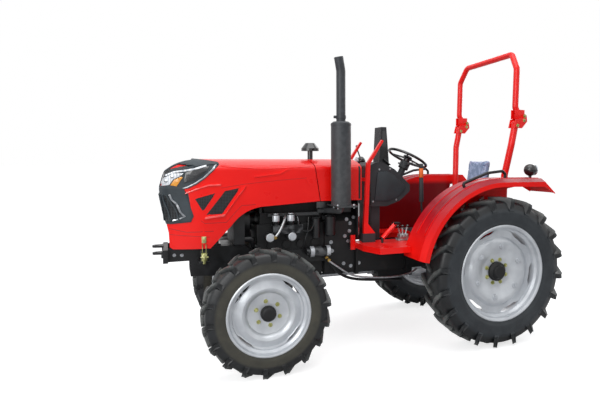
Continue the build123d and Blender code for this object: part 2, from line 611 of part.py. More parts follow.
def hood_solid(inset):
    """Tilting hood: a crowned body cut to its side view and to its plan."""
    rear = SEAM_X + SEAM_GAP - inset
    fall = (HOOD_TOP - SKIRT_Z) * 0.17
    nose = 1862 - inset
    with BuildPart() as solid:
        extrude(crown(rear - 90, HOOD_HALF - inset, HOOD_EDGE - inset, HOOD_TOP - inset, 900),
                amount=nose + 50 - rear + 90)
        with BuildSketch(side_plane(HOOD_HALF + 20)) as outline:
            with BuildLine():
                Polyline((rear, HOOD_TOP + 40), (1593, HOOD_TOP + 40 - inset))
                Line((1593, HOOD_TOP + 40 - inset), (1593, 1664 - inset))
                ThreePointArc((1593, 1664 - inset), (1710 - inset / 2, 1634 - inset), (1812 - inset, 1570))
                Polyline((1812 - inset, 1570), (1856 - inset, 1421), (1790 - inset, 1099), (1785 - inset, 985 - inset),
                         (1760, CHIN_Z - inset), (1480, CHIN_Z - inset))
                Polyline((1480, CHIN_Z - inset), (1311, 1146 - inset))
                ThreePointArc((1311, 1146 - inset), (1215, 1236 - inset), (1067, 1288 - inset))
                Line((1067, 1288 - inset), (rear - fall, SKIRT_Z - inset))
                Line((rear - fall, SKIRT_Z - inset), (rear, HOOD_TOP + 40))
            make_face()
        extrude(outline.sketch, amount=2 * HOOD_HALF + 40, mode=Mode.INTERSECT)
        with BuildSketch(Plane.XY.offset(850)) as plan:
            with BuildLine():
                Line((rear - 100, HOOD_HALF - inset), (1420, HOOD_HALF - inset))
                ThreePointArc((1420, HOOD_HALF - inset), (1660, 287 - inset), (1815 - inset, 222 - inset / 2))
                ThreePointArc((1815 - inset, 222 - inset / 2), (nose, 0), (1815 - inset, -222 + inset / 2))
                ThreePointArc((1815 - inset, -222 + inset / 2), (1660, -287 + inset), (1420, -HOOD_HALF + inset))
                Line((1420, -HOOD_HALF + inset), (rear - 100, -HOOD_HALF + inset))
                Line((rear - 100, -HOOD_HALF + inset), (rear - 100, HOOD_HALF - inset))
            make_face()
        extrude(plan.sketch, amount=900, mode=Mode.INTERSECT)
    return solid.part


def grille_cut(lap):
    """Space of the front grille and of the two vents in each side, widened by a lap."""
    with BuildPart() as space:
        for opening in ([(1640, 1416), (1611, 1215), (1760, 1195), (1900, 1230), (1900, 1440), (1700, 1440)],
                        [(1590, 1366), (1431, 1410), (1533, 1262)],
                        [(1503, 1237), (1361, 1424), (1242, 1446), (1387, 1240)]):
            with BuildSketch(side_plane(HOOD_HALF + 30)) as outline:
                with BuildLine():
                    Polyline(*opening, close=True)
                make_face()
                offset(amount=lap - 14, kind=Kind.INTERSECTION)
                offset(amount=14, kind=Kind.ARC)
            extrude(outline.sketch, amount=2 * HOOD_HALF + 60)
    return space.part


def lamp_cut():
    """Space of the two lamp clusters, on the shoulders over the grille."""
    with BuildPart() as space:
        for side in (-1, 1):
            plate(side_plane(side * 210 + 120), [(1407, 1628), (1640, 1560), (1900, 1462), (1900, 1560), (1815, 1592),
                                                 (1600, 1640)], 240)
    return space.part


HOOD_OUTER = hood_solid(0)
HOOD_INNER = hood_solid(SHEET)
GRILLE_SPACE = grille_cut(0)
LAMP_SPACE = lamp_cut()

with BuildPart() as hood:
    add(HOOD_OUTER)
    add(HOOD_INNER, mode=Mode.SUBTRACT)
    block((SEAM_X - 200, 1500), (-HOOD_HALF + SHEET, HOOD_HALF - SHEET), (800, 1325), mode=Mode.SUBTRACT)
    add(GRILLE_SPACE, mode=Mode.SUBTRACT)
    add(LAMP_SPACE, mode=Mode.SUBTRACT)
hood.part.label = "hood"
export_step(hood.part, "parts/hood.step")

with BuildPart() as grilles:
    add(HOOD_INNER)
    add(hood_solid(2.2 * SHEET), mode=Mode.SUBTRACT)
    add(grille_cut(10), mode=Mode.INTERSECT)
grilles.part.label = "grilles"
export_step(grilles.part, "parts/grilles.step")

with BuildPart() as headlamps:
    add(hood_solid(1.0))
    add(hood_solid(40), mode=Mode.SUBTRACT)
    add(LAMP_SPACE, mode=Mode.INTERSECT)
headlamps.part.label = "headlamps"
export_step(headlamps.part, "parts/headlamps.step")

with BuildPart() as air_intake:
    upright(INTAKE_X, 0, [(0, HOOD_TOP - 81), (INTAKE_R, HOOD_TOP - 81), (INTAKE_R, HOOD_TOP + 74),
                           (80, HOOD_TOP + 74), (80, HOOD_TOP + 98), (42, HOOD_TOP + 146), (0, HOOD_TOP + 146)])
air_intake.part.label = "air_intake"
export_step(air_intake.part, "parts/air_intake.step")

MUFF = (411.0, 404.0)
MUFF_TOP = 1994.0
with BuildPart() as exhaust:
    x, y = MUFF
    upright(x, y, [(0, 1286), (85, 1286), (85, MUFF_TOP - 14), (66, MUFF_TOP), (0, MUFF_TOP)])
    pipe([(x, y, MUFF_TOP - 4), (x, y, MUFF_TOP + 426), (x + 22, y + 6, MUFF_TOP + 536)], 39, 90)
    block((x - 120, x + 60), (190, y + 95), (1274, 1288))
    pipe([(x, y, 1290), (x, y, 1240), (x + 70, 160, 1222), (x + 140, 160, 1222)], 26, 30)
    block((ENGINE_REAR + 60, ENGINE_FRONT - 100), (125, 172), (1187, 1213))
exhaust.part.label = "exhaust"
export_step(exhaust.part, "parts/exhaust.step")

# ---------------------------------------------------------------- operator station
def footboard(side):
    """Pressed floor with a turned-down edge."""
    inner = TRANS_HALF + 20
    shape = [(DECK_FRONT, side * inner), (DECK_FRONT, side * 420), (DECK_FRONT - 75, side * DECK_OUT),
             (DECK_REAR, side * DECK_OUT),
             (DECK_REAR, side * (FENDER_IN - 8)), (-560, side * (FENDER_IN - 8)), (-560, side * inner)]
    plate(Plane.XY.offset(DECK_BOTTOM), shape, DECK_TOP - DECK_BOTTOM)
    under = [(DECK_FRONT - 8, side * (inner + 8)), (DECK_FRONT - 8, side * 416),
             (DECK_FRONT - 80, side * (DECK_OUT - 8)),
             (DECK_REAR + 8, side * (DECK_OUT - 8)), (DECK_REAR + 8, side * (FENDER_IN - 16)),
             (-552, side * (FENDER_IN - 16)),
             (-552, side * (inner + 8))]
    plate(Plane.XY.offset(DECK_BOTTOM - 1), under, DECK_TOP - DECK_BOTTOM - 7, mode=Mode.SUBTRACT)
    plate(side_plane(side * (inner + 12) + 12), [(DECK_FRONT - 6, DECK_BOTTOM - 20), (DECK_FRONT + 34, DECK_BOTTOM - 20),
                                                 (DECK_FRONT + 34, DECK_TOP + 62), (DECK_FRONT - 6, DECK_TOP + 62)], 24)


with BuildPart() as footboards:
    for side in (-1, 1):
        footboard(side)
footboards.part.label = "footboards"
export_step(footboards.part, "parts/footboards.step")


def ride_over(angle, radius=FENDER_R):
    """Point (x, z) at an angle round the rear wheel, forward being 0."""
    return REAR_X + radius * cos(angle), REAR_R + radius * sin(angle)


def fender_section(at, towards, wall, shoulder, skirt):
    """Channel open to the wheel: inner wall, top, sloping shoulder, outer skirt; each by its depth."""
    inner, outer = FENDER_IN - at[1], FENDER_OUT - at[1]
    with BuildSketch(Plane(origin=at, x_dir=(0, 1, 0), z_dir=towards)) as section:
        with BuildLine():
            Polyline((inner, wall), (inner, 0), (outer - 55, 0), (outer, shoulder), (outer, skirt),
                     (outer - SHEET, skirt), (outer - SHEET, shoulder + 3), (outer - 57, SHEET),
                     (inner + SHEET, SHEET), (inner + SHEET, wall), close=True)
        make_face()
    return section.sketch


with BuildPart() as fender_left:
    spine = REAR_TRACK / 2 - 15             # the section is drawn from this Y
    low = asin((DECK_BOTTOM - 45 - REAR_R) / FENDER_R)
    with BuildLine() as path:
        at = [(x, spine, z) for x, z in (ride_over(low), ride_over(pi / 4), ride_over(pi / 2))]
        ThreePointArc(*at)
    sweep(fender_section(at[0], (-sin(low), 0, cos(low)), 150, 30, 70), path=path.wires()[0])
    bend = (FENDER_BEND, spine, REAR_R + FENDER_R)
    tip = (FENDER_TIP, spine, REAR_R + FENDER_R - FENDER_DROP)
    sections = [fender_section(at[2], (-1, 0, 0), 150, 30, 70), fender_section(bend, (-1, 0, 0), 80, 30, 75),
                fender_section(tip, (-1, 0, 0), 12, 6, 14)]
    loft(sections[:2], ruled=True)
    loft(sections[1:], ruled=True)
    wall_r = FENDER_R - 120
    foot = asin((DECK_TOP - REAR_R) / wall_r)
    with BuildSketch(side_plane(FENDER_IN + SHEET)) as wall:
        with BuildLine():
            Polyline((REAR_X, REAR_R + wall_r), (FENDER_BEND + 160, REAR_R + wall_r + 30), (-1100, 930),
                     ride_over(foot, wall_r))
            ThreePointArc(ride_over(foot, wall_r), ride_over(radians(55), wall_r), (REAR_X, REAR_R + wall_r))
        make_face()
    extrude(wall.sketch, amount=SHEET)
fender_left.part.label = "fender_left"
export_step(fender_left.part, "parts/fender_left.step")

with BuildPart() as fender_right:
    mirror(fender_left.part, about=Plane.XZ)
fender_right.part.label = "fender_right"
export_step(fender_right.part, "parts/fender_right.step")

with BuildPart() as grab_rails:
    for side in (-1, 1):
        y = side * (FENDER_OUT - 130)
        tilt = radians(66)
        foot = [(REAR_X + r * cos(tilt), y, REAR_R + r * sin(tilt)) for r in (FENDER_R + 0.2, FENDER_R + 35)]
        top = REAR_R + FENDER_R
        pipe(foot + [(REAR_X + 100, y, top + 50), (REAR_X - 60, y, top + 66), (REAR_X - 88, y, top + 40),
                     (REAR_X - 88, y, top)], 13, 18)
grab_rails.part.label = "grab_rails"
export_step(grab_rails.part, "parts/grab_rails.step")

LAMP_R = 58.0
with BuildPart() as work_lamps:
    top = REAR_R + FENDER_R
    rod((-1370, 650, top), (-1370, 650, top + 30), 14)
    with Locations((-1370, 650, top + 74)):
        Sphere(LAMP_R)
    pipe([(-13, -277, 1820), (-13, -350, 1820), (-60, -350, 1700)], 7, 20)
    with Locations((-70, -350, 1665)):
        Sphere(46)
work_lamps.part.label = "work_lamps"
export_step(work_lamps.part, "parts/work_lamps.step")

COLUMN = radians(63.5)                 # steering column, above the horizontal
WHEEL_AT = (-424.0, 0.0, 1694.0)
WHEEL_R = 210.0
COLUMN_DIR = (-cos(COLUMN), 0.0, sin(COLUMN))


def on_column(distance):
    """Point on the steering column, measured up from the wheel's centre."""
    return tuple(c + distance * d for c, d in zip(WHEEL_AT, COLUMN_DIR))


with BuildPart() as dash_console:
    plate(side_plane(185), [(58, 1620), (0, 1650), (-70, 1655), (-200, 1585), (-357, 1440), (-357, 1380), (-250, 1290),
                            (-120, 1244), (40, 1244)], 370)
    fillet(dash_console.edges().filter_by(Axis.Y), 18)
    block((-60, 30), (-150, 150), (872, 1250))
    plate(side_plane(75), [(-87, 1640), (-105, 1985), (-160, 1985), (-193, 1590)], 150)
    rod(on_column(-330), on_column(-40), 32)
    for y in (-262, 262):
        block((40, 160), (y - 22, y + 22), (DECK_TOP, RISER_TOP))
dash_console.part.label = "dash_console"
export_step(dash_console.part, "parts/dash_console.step")

with BuildPart() as dash_posts:
    for side in (-1, 1):
        y = side * 262
        plate(side_plane(y + 15), [(150, RISER_TOP), (150, 1090), (120, 1645), (-25, 1855), (-42, 1845), (86, 1640),
                                   (108, 1100), (38, RISER_TOP)], 30)
    block((95, 125), (-262, 262), (1480, 1510))
dash_posts.part.label = "dash_posts"
export_step(dash_posts.part, "parts/dash_posts.step")

WHEEL_PLANE = Plane(origin=WHEEL_AT, x_dir=(0, 1, 0), z_dir=COLUMN_DIR)
with BuildPart() as steering_wheel:
    with BuildSketch(Plane(origin=WHEEL_AT, x_dir=(0, 1, 0), z_dir=-WHEEL_PLANE.y_dir)) as ring:
        with Locations((WHEEL_R - 14, 0)):
            RegularPolygon(14, 6)
    revolve(ring.sketch, axis=Axis(WHEEL_AT, COLUMN_DIR))
    with BuildSketch(WHEEL_PLANE.offset(-7)) as spokes:
        Circle(38)
        with PolarLocations((WHEEL_R - 16) / 2, 3, start_angle=90):
            Rectangle(WHEEL_R - 16, 20)
    extrude(spokes.sketch, amount=12)
    rod(on_column(-38), on_column(-6), 34)
steering_wheel.part.label = "steering_wheel"
export_step(steering_wheel.part, "parts/steering_wheel.step")

with BuildPart() as seat_base:
    for x in (-1010, -860):
        block((x, x + 60), (-140, 140), (1010, 1045))
    block((-1190, -780), (-170, 170), (1045, 1060))
    block((-1150, -860), (-130, 130), (1060, 1150))
    block((-1200, -790), (-185, 185), (1150, 1170))
seat_base.part.label = "seat_base"
export_step(seat_base.part, "parts/seat_base.step")

with BuildPart() as seat_cushions:
    block((-1185, -770), (-215, 215), (1170, 1270))
    fillet(seat_cushions.edges().filter_by(Axis.Z), 60)
    plate(side_plane(205), [(-1150, 1275), (-1200, 1280), (-1272, 1673), (-1225, 1676), (-1195, 1600)], 410)
seat_cushions.part.label = "seat_cushions"
export_step(seat_cushions.part, "parts/seat_cushions.step")

with BuildPart() as controls:
    pipe([(-135, 350, 1100), (-80, 350, 1040), (0, 350, DECK_TOP + 50), (0, 350, DECK_TOP)], 11, 20)
    block((-165, -110), (315, 385), (1095, 1107))
    pipe([(-135, -330, 1100), (-80, -330, 1040), (0, -330, DECK_TOP + 50), (0, -330, DECK_TOP)], 11, 20)
    block((-165, -110), (-365, -295), (1095, 1107))
    pipe([(-413, 300, 1625), (-420, 300, 1240), (-452, 300, 1000), (-452, 300, DECK_TOP)], 9, 40)
    rod((-413, 300, 1628), (-414, 300, 1560), 18)
controls.part.label = "controls"
export_step(controls.part, "parts/controls.step")

# ---------------------------------------------------------------- roll bar
with BuildPart() as rops_posts:
    for side in (-1, 1):
        foot = side * (FENDER_IN - 65)
        y = side * ROPS_HALF
        pipe([(-1240, foot, 925), (-1250, foot, 1520), (-1285, y, 1820), (-1328, y, 2030)], ROPS_TUBE, 120)
        rod((-1326, y - ROPS_CHEEK, 2022), (-1326, y + ROPS_CHEEK, 2022), 30)
        for inner in (y + ROPS_CHEEK, y - ROPS_CHEEK - 12):
            plate(side_plane(inner + 12), [(-1280, 1980), (-1370, 1975), (-1429, 2040), (-1420, 2100),
                                           (-1370, 2075), (-1300, 2060)], 12)
        x, z = ROPS_HINGE
        rod((x, y - ROPS_CHEEK, z), (x, y + ROPS_CHEEK, z), ROPS_PIN)
        block((-1290, -1190), (foot - 45, foot + 45), (900, 930))
        block((-1260, -1200), sorted((side * 205, foot + side * 45)), (860, 902))
rops_posts.part.label = "rops_posts"
export_step(rops_posts.part, "parts/rops_posts.step")

with BuildPart() as rops_hoop:
    x, z = ROPS_HINGE
    for side in (-1, 1):
        y = side * ROPS_HALF
        rod((x, y - 30, z), (x, y + 30, z), 24)
        block((x - 20, x + 20), (y - 24, y + 24), (z, z + 40))
    low, high = z + 120, ROPS_TOP - 152
    pipe([(x, -ROPS_HALF, z + 20), (x + 70, -ROPS_HALF, low), (x + 62, -ROPS_HALF, high),
          (x + 40, 100 - ROPS_HALF, ROPS_TOP), (x + 40, ROPS_HALF - 100, ROPS_TOP),
          (x + 62, ROPS_HALF, high), (x + 70, ROPS_HALF, low), (x, ROPS_HALF, z + 20)], ROPS_TUBE - 3, 60)
    for side in (-1, 1):
        y = side * ROPS_HALF
        rod((x, y - 40, z), (x, y + 40, z), ROPS_PIN + FIT, mode=Mode.SUBTRACT)
rops_hoop.part.label = "rops_hoop"
export_step(rops_hoop.part, "parts/rops_hoop.step")

# ---------------------------------------------------------------- three-point linkage
with BuildPart() as lift_arms:
    x, z = LIFT_PIVOT
    tip = z - LINK_DROP                     # the arm stays parallel to its lower link
    for side in (-1, 1):
        y = side * 205
        rod((x, y - 16, z), (x, y + 16, z), 62)
        plate(side_plane(y + 11), [(x, z + 40), (x, z - 40), (x - LIFT_ARM, tip - 22), (x - LIFT_ARM, tip + 22)], 22)
        rod((x - LIFT_ARM, y - 11, tip), (x - LIFT_ARM, y + 11, tip), 24)
        rod((x - LIFT_ARM, y, tip), (x - LIFT_ARM, side * 254, tip), 12)
lift_arms.part.label = "lift_arms"
export_step(lift_arms.part, "parts/lift_arms.step")


def lower_link(side):
    """Flat draft link with an eye at its pivot and a ball end for the implement."""
    y = side * LINK_Y
    x0, z0 = LINK_PIVOT
    x1, z1 = LINK_BALL
    plate(side_plane(y + 9), [(x0, z0 - 30), (x1, z1 - 22), (x1, z1 + 22), (x0, z0 + 30)], 18)
    rod((x0, y - 19, z0), (x0, y + 19, z0), 32)
    rod((x0, y - 30, z0), (x0, y + 30, z0), 14 + FIT, mode=Mode.SUBTRACT)
    rod((x0 - LIFT_ARM, y, z0 - LINK_DROP), (x0 - LIFT_ARM, side * 285.5, z0 - LINK_DROP), 12)
    rod((x1, y - 22, z1), (x1, y + 22, z1), 22)
    rod((x1, y - 30, z1), (x1, y + 30, z1), 14.35, mode=Mode.SUBTRACT)


with BuildPart() as lower_link_left:
    lower_link(1)
lower_link_left.part.label = "lower_link_left"
export_step(lower_link_left.part, "parts/lower_link_left.step")

with BuildPart() as lower_link_right:
    lower_link(-1)
lower_link_right.part.label = "lower_link_right"
export_step(lower_link_right.part, "parts/lower_link_right.step")


def lift_rod(side):
    """Screwed rod between a lift arm and its lower link."""
    y = side * 270
    top = (LIFT_PIVOT[0] - LIFT_ARM, y, LIFT_PIVOT[1] - LINK_DROP)
    low = (LINK_PIVOT[0] - LIFT_ARM, y, LINK_PIVOT[1] - LINK_DROP)
    rod(low, top, 13)
    rod((low[0], y - 14, low[2]), (low[0], y + 14, low[2]), 24)
    rod((top[0], y - 14, top[2]), (top[0], y + 14, top[2]), 24)


with BuildPart() as lift_rod_left:
    lift_rod(1)
lift_rod_left.part.label = "lift_rod_left"
export_step(lift_rod_left.part, "parts/lift_rod_left.step")

with BuildPart() as lift_rod_right:
    lift_rod(-1)
lift_rod_right.part.label = "lift_rod_right"
export_step(lift_rod_right.part, "parts/lift_rod_right.step")

with BuildPart() as top_link:
    x, z = TOP_PIVOT
    rod((x, -12, z), (x, 12, z), 26)
    rod((x - 20, 0, z), (x - 180, 0, z - 60), 14)
    rod((x - 150, 0, z - 50), (x - 420, 0, z - 150), 20)
    rod((x - 400, 0, z - 143), (x - 560, 0, z - 203), 14)
    rod((x - 580, -25, z - 210), (x - 580, 25, z - 210), 30)
    rod((x - 580, -30, z - 210), (x - 580, 30, z - 210), 12.85, mode=Mode.SUBTRACT)
top_link.part.label = "top_link"
export_step(top_link.part, "parts/top_link.step")
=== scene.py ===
# %% [markdown]
# # A farm tractor, dressed piece by piece
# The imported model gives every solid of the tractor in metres: X runs forward, Y to the
# tractor's left and Z up. It moves by its joints, so this lesson never moves a solid. It
# gives each one a finish, and makes by hand the pieces whose looks need more than a solid:
# tyres with rounded lugs, pressed wheels, lamps, the grille, the seat and the small fittings.

# %% Load the frame
import math

import bmesh
import bpy
from mathutils import Matrix, Vector
from mathutils.bvhtree import BVHTree


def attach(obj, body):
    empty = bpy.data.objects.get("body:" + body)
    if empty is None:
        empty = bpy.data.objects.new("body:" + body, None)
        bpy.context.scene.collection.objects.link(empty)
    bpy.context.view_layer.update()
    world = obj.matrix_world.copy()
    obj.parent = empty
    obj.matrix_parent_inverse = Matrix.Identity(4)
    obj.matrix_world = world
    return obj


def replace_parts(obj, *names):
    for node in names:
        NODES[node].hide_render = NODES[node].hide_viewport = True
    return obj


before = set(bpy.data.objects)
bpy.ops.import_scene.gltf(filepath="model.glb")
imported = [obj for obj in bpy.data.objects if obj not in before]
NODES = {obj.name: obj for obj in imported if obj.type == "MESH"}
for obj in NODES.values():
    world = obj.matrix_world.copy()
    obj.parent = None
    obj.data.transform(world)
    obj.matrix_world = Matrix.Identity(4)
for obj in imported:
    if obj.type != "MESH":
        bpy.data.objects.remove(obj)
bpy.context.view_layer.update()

# %% [markdown]
# ## Camera, floor and light
# The camera stands at the tractor's front left, at the height of a standing person, and its
# shift keeps the verticals upright. Two large soft lamps and a plain pale world light the
# paint evenly. The floor shows white to the camera and still takes the tractor's shadow.


# %% Camera
def placed(name, data):
    """A new object in the scene."""
    made = bpy.data.objects.new(name, data)
    bpy.context.scene.collection.objects.link(made)
    return made


LOOK = math.radians(-110.89)
TILT = math.radians(-3.82)
aim = Vector((math.cos(LOOK) * math.cos(TILT), math.sin(LOOK) * math.cos(TILT), math.sin(TILT)))
lens = bpy.data.cameras.new("camera")
lens.lens = 29.26
lens.shift_x = -0.092
lens.shift_y = -0.010
camera = placed("camera", lens)
camera.location = (1.777, 4.321, 1.660)
camera.rotation_mode = "QUATERNION"
camera.rotation_quaternion = aim.to_track_quat("-Z", "Y")
bpy.context.scene.camera = camera
print("camera aims along", [round(c, 3) for c in aim])


# %% Lamps
def soft_lamp(name, place, target, size, power):
    """Square area lamp aimed at a point."""
    light = bpy.data.lights.new(name, "AREA")
    light.size = size
    light.energy = power
    lamp = placed(name, light)
    lamp.location = place
    lamp.rotation_mode = "QUATERNION"
    lamp.rotation_quaternion = (Vector(target) - Vector(place)).to_track_quat("-Z", "Y")


soft_lamp("sky_panel", (0.5, 1.5, 7.0), (0, 0, 0.8), 6.0, 250)
soft_lamp("front_panel", (5.5, 5.0, 3.5), (0, 0, 0.9), 4.0, 200)
soft_lamp("rear_panel", (-5.0, -3.0, 4.0), (0, 0, 0.9), 4.0, 120)
print("three soft lamps")

# %% [markdown]
# ## Shader sums in Python
# A material is a graph of nodes. Written node by node it hides what it works out, so a small
# class wraps a socket and gives it the arithmetic signs: an expression on wrapped sockets
# adds its Math nodes. Colours go through Mix nodes, because a Math node makes them grey.


# %% A socket with arithmetic
def sign(operation):
    """A method that adds one Math node for a sign or a function."""
    def work(first, second=0.0):
        return first.paint.node("ShaderNodeMath", {"operation": operation}, {0: first, 1: second})
    return work


class Value:
    """A node's output that Python's signs work on."""

    def __init__(self, paint, socket):
        self.paint = paint
        self.socket = socket

    __add__ = __radd__ = sign("ADD")
    __sub__ = sign("SUBTRACT")
    __mul__ = __rmul__ = sign("MULTIPLY")
    __pow__ = sign("POWER")
    __lt__ = sign("LESS_THAN")
    __abs__ = sign("ABSOLUTE")
    wave = sign("SINE")
    least = sign("MINIMUM")

    def __rsub__(self, other):
        return self.paint.node("ShaderNodeMath", {"operation": "SUBTRACT"}, {0: other, 1: self})

    def ramp(self, low, high):
        """0 below low, 1 above high, smooth between."""
        values = {"Value": self, "From Min": low, "From Max": high}
        return self.paint.node("ShaderNodeMapRange", {"interpolation_type": "SMOOTHSTEP"}, values)


# %% A material as a list of sums
class Paint:
    """One material. Constant looks are set on its shader; what varies is linked to it."""

    def __init__(self, name, **constants):
        self.material = bpy.data.materials.new(name)
        self.material.use_nodes = True
        self.tree = self.material.node_tree
        self.shader = self.tree.nodes["Principled BSDF"]
        for socket, value in constants.items():
            self.shader.inputs[socket.replace("_", " ")].default_value = value

    def node(self, kind, settings, values, output=0):
        """Adds a node: its settings first, then the values or links of its sockets."""
        made = self.tree.nodes.new(kind)
        for key, value in settings.items():
            setattr(made, key, value)
        for key, value in values.items():
            if isinstance(value, Value):
                self.tree.links.new(value.socket, made.inputs[key])
            else:
                made.inputs[key].default_value = value
        return Value(self, made.outputs[output])

    def place(self):
        """Object coordinates."""
        return self.node("ShaderNodeTexCoord", {}, {}, "Object")

    def split(self, vector):
        """A vector's three numbers, one by one."""
        return [self.node("ShaderNodeSeparateXYZ", {}, {0: vector}, k) for k in range(3)]

    def facing(self):
        """The surface's own direction, one axis at a time, in the tractor's frame."""
        return self.split(self.node("ShaderNodeNewGeometry", {}, {}, "Normal"))

    def noise(self, scale, detail=2.0, roughness=0.5):
        values = {"Vector": self.place(), "Scale": scale, "Detail": detail, "Roughness": roughness}
        return self.node("ShaderNodeTexNoise", {}, values, "Fac")

    def cells(self, feature, scale):
        """Distances in a field of random cells."""
        return self.node("ShaderNodeTexVoronoi", {"feature": feature}, {"Vector": self.place(), "Scale": scale})

    def mix(self, amount, first, second):
        """Blends two colours."""
        return self.node("ShaderNodeMix", {"data_type": "RGBA"}, {0: amount, 6: first, 7: second}, 2)

    def bump(self, height, depth, strength):
        values = {"Height": height, "Distance": depth, "Strength": strength}
        self.link("Normal", self.node("ShaderNodeBump", {}, values))

    def link(self, socket, value):
        self.tree.links.new(value.socket, self.shader.inputs[socket])


def rgb(r, g, b):
    """A display colour, 0 to 255, as the linear colour that the shader takes."""
    linear = [((c / 255 + 0.055) / 1.055) ** 2.4 if c > 10 else c / 255 / 12.92 for c in (r, g, b)]
    return (*linear, 1.0)


print("a display grey of 128 is", round(rgb(128, 128, 128)[0], 3), "in linear light")

# %% [markdown]
# ## Backdrop
# The world is white only to camera, glossy and transmitted rays. Other rays meet a plain pale
# grey, so the white never lights the tractor from below. The floor glows for the camera alone.

# %% Floor and world
world = bpy.data.worlds.new("pale_studio")
bpy.context.scene.world = world
world.use_nodes = True
tree = world.node_tree
plain = tree.nodes["Background"]
plain.inputs["Color"].default_value = (0.93, 0.95, 1.0, 1)
plain.inputs["Strength"].default_value = 0.42
path = tree.nodes.new("ShaderNodeLightPath")
seen = path.outputs["Is Camera Ray"]
for kind in ("Is Glossy Ray", "Is Transmission Ray"):
    either = tree.nodes.new("ShaderNodeMath")
    either.operation = "MAXIMUM"
    tree.links.new(seen, either.inputs[0])
    tree.links.new(path.outputs[kind], either.inputs[1])
    seen = either.outputs[0]
white = tree.nodes.new("ShaderNodeBackground")
white.inputs["Color"].default_value = (1, 1, 1, 1)
choose = tree.nodes.new("ShaderNodeMixShader")
for place, source in enumerate((seen, plain.outputs[0], white.outputs[0])):
    tree.links.new(source, choose.inputs[place])
tree.links.new(choose.outputs[0], tree.nodes["World Output"].inputs["Surface"])

floor_paint = Paint("floor_white", Roughness=0.9, Base_Color=(0.62, 0.62, 0.62, 1), Emission_Strength=1.0)
floor_seen = floor_paint.node("ShaderNodeLightPath", {}, {}, "Is Camera Ray")
floor_paint.link("Emission Color", floor_paint.mix(floor_seen, (0, 0, 0, 1), (0.72, 0.72, 0.72, 1)))
floor_mesh = bmesh.new()
bmesh.ops.create_grid(floor_mesh, x_segments=1, y_segments=1, size=200)
floor_data = bpy.data.meshes.new("floor")
floor_mesh.to_mesh(floor_data)
floor_data.materials.append(floor_paint.material)
floor = placed("floor", floor_data)
bpy.context.scene.view_settings.view_transform = "Standard"
print("floor and world are set")

# %% [markdown]
# ## Finishes
# New enamel is even in colour, with a faint orange peel under a clear coat. Castings are dark
# and grainy. Moulded plastic has a fine leather grain. Rubber is matt, with painted shade between
# its bars and a painted highlight on their tips. Most finishes are two shades blended by noise, so one
# function makes them.


# %% Two shades and a grain
def shaded(name, cloud, dark, light, rough, bump=None, **looks):
    """Two shades blended by noise, which varies the roughness too unless that has its own.

    cloud is a noise and its ramp, if any; rough is a share, the least value and its own
    noise, if any; bump is a noise, its depth and its strength.
    """
    paint = Paint(name, **looks)
    patch = paint.noise(*cloud[0])
    if len(cloud) > 1:
        patch = patch.ramp(*cloud[1])
    paint.link("Base Color", paint.mix(patch, rgb(*dark), rgb(*light)))
    share, least, *own = rough
    paint.link("Roughness", (paint.noise(*own[0]) if own else patch) * share + least)
    if bump:
        paint.bump(paint.noise(*bump[0]), *bump[1:])
    return paint.material


# %% Red enamels
PEEL = [(420, 1), 0.0004, 0.12]


def fender_enamel():
    """The same enamel, with a painted sky reflection (crimson where it faces up) and a painted shadow low on its
    inner wall.
    """
    paint = Paint("fender_enamel", Coat_Weight=0.12, Coat_Roughness=0.2, Specular_IOR_Level=0.22)
    shade = paint.noise(3.0, 3).ramp(0.25, 0.8)
    warm = paint.mix(shade, rgb(240, 14, 10), rgb(252, 26, 18))
    # painted reflection: crimson stands in for the sky reflected on up-facing enamel
    sky_reflection = paint.mix(shade, rgb(138, 4, 26), rgb(176, 10, 38))
    _, across, high = paint.split(paint.place())
    _, sideways, up = paint.facing()
    # painted shadow: dark red low on the inner wall, where it faces the centre line
    shadow = ((sideways * across) < -0.2) * (1 - high.ramp(1.40, 1.46))
    outside = paint.mix(up.ramp(0.25, 0.8), warm, sky_reflection)
    paint.link("Base Color", paint.mix(shadow, outside, rgb(120, 4, 10)))
    paint.link("Roughness", paint.noise(9, 3) * 0.12 + 0.34)
    paint.bump(paint.noise(*PEEL[0]), *PEEL[1:])
    return paint.material


RED = shaded("red_enamel", [(2.2, 2), (0.3, 0.75)], (240, 14, 10), (250, 24, 16), [0.1, 0.24, (9, 3)], PEEL,
             Coat_Weight=0.22, Coat_Roughness=0.08, Specular_IOR_Level=0.3)
# Painted highlight for a sharp press bend: a paler red stands in for the light that the bend catches.
HIGHLIGHT_RED = shaded("bead_painted_highlight", [(14, 3), (0.3, 0.75)], (252, 52, 48), (255, 104, 100), [0.1, 0.16],
                  [(420, 1), 0.0003, 0.1], Coat_Weight=1.0, Coat_Roughness=0.04, Specular_IOR_Level=0.6)
# Painted shade for a pressed groove, where little light reaches it: a darker red.
GROOVE_SHADE_RED = shaded("groove_painted_shade", [(30, 2)], (176, 8, 9), (200, 13, 13), [0.2, 0.4], Coat_Weight=0.3)
FENDER_RED = fender_enamel()
print("red enamels:", RED.name, FENDER_RED.name)


# %% Dark paints, castings and plastics
def grained_plastic(name, dark, light):
    """Moulded plastic with a fine leather grain."""
    paint = Paint(name, Specular_IOR_Level=0.4)
    patch = paint.noise(5, 3).ramp(0.3, 0.8)
    paint.link("Base Color", paint.mix(patch, rgb(*dark), rgb(*light)))
    paint.link("Roughness", patch * 0.1 + 0.5)
    paint.bump(paint.cells("DISTANCE_TO_EDGE", 320.0).ramp(0.0, 0.25), 0.0006, 0.35)
    return paint.material


def muffler_black():
    """Heat paint: matt, greyer towards the hot lower end, with fine brush marks."""
    paint = Paint("muffler_black", Specular_IOR_Level=0.4)
    heat = paint.split(paint.place())[2].ramp(1.3, 2.1)
    streak = paint.noise(24, 4).ramp(0.3, 0.8)
    cold = paint.mix(streak, rgb(48, 51, 55), rgb(66, 69, 73))
    hot = paint.mix(streak, rgb(58, 60, 62), rgb(76, 77, 78))
    paint.link("Base Color", paint.mix(heat, hot, cold))
    paint.link("Roughness", streak * 0.15 + 0.42)
    paint.bump(paint.noise(200, 3), 0.0006, 0.3)
    return paint.material


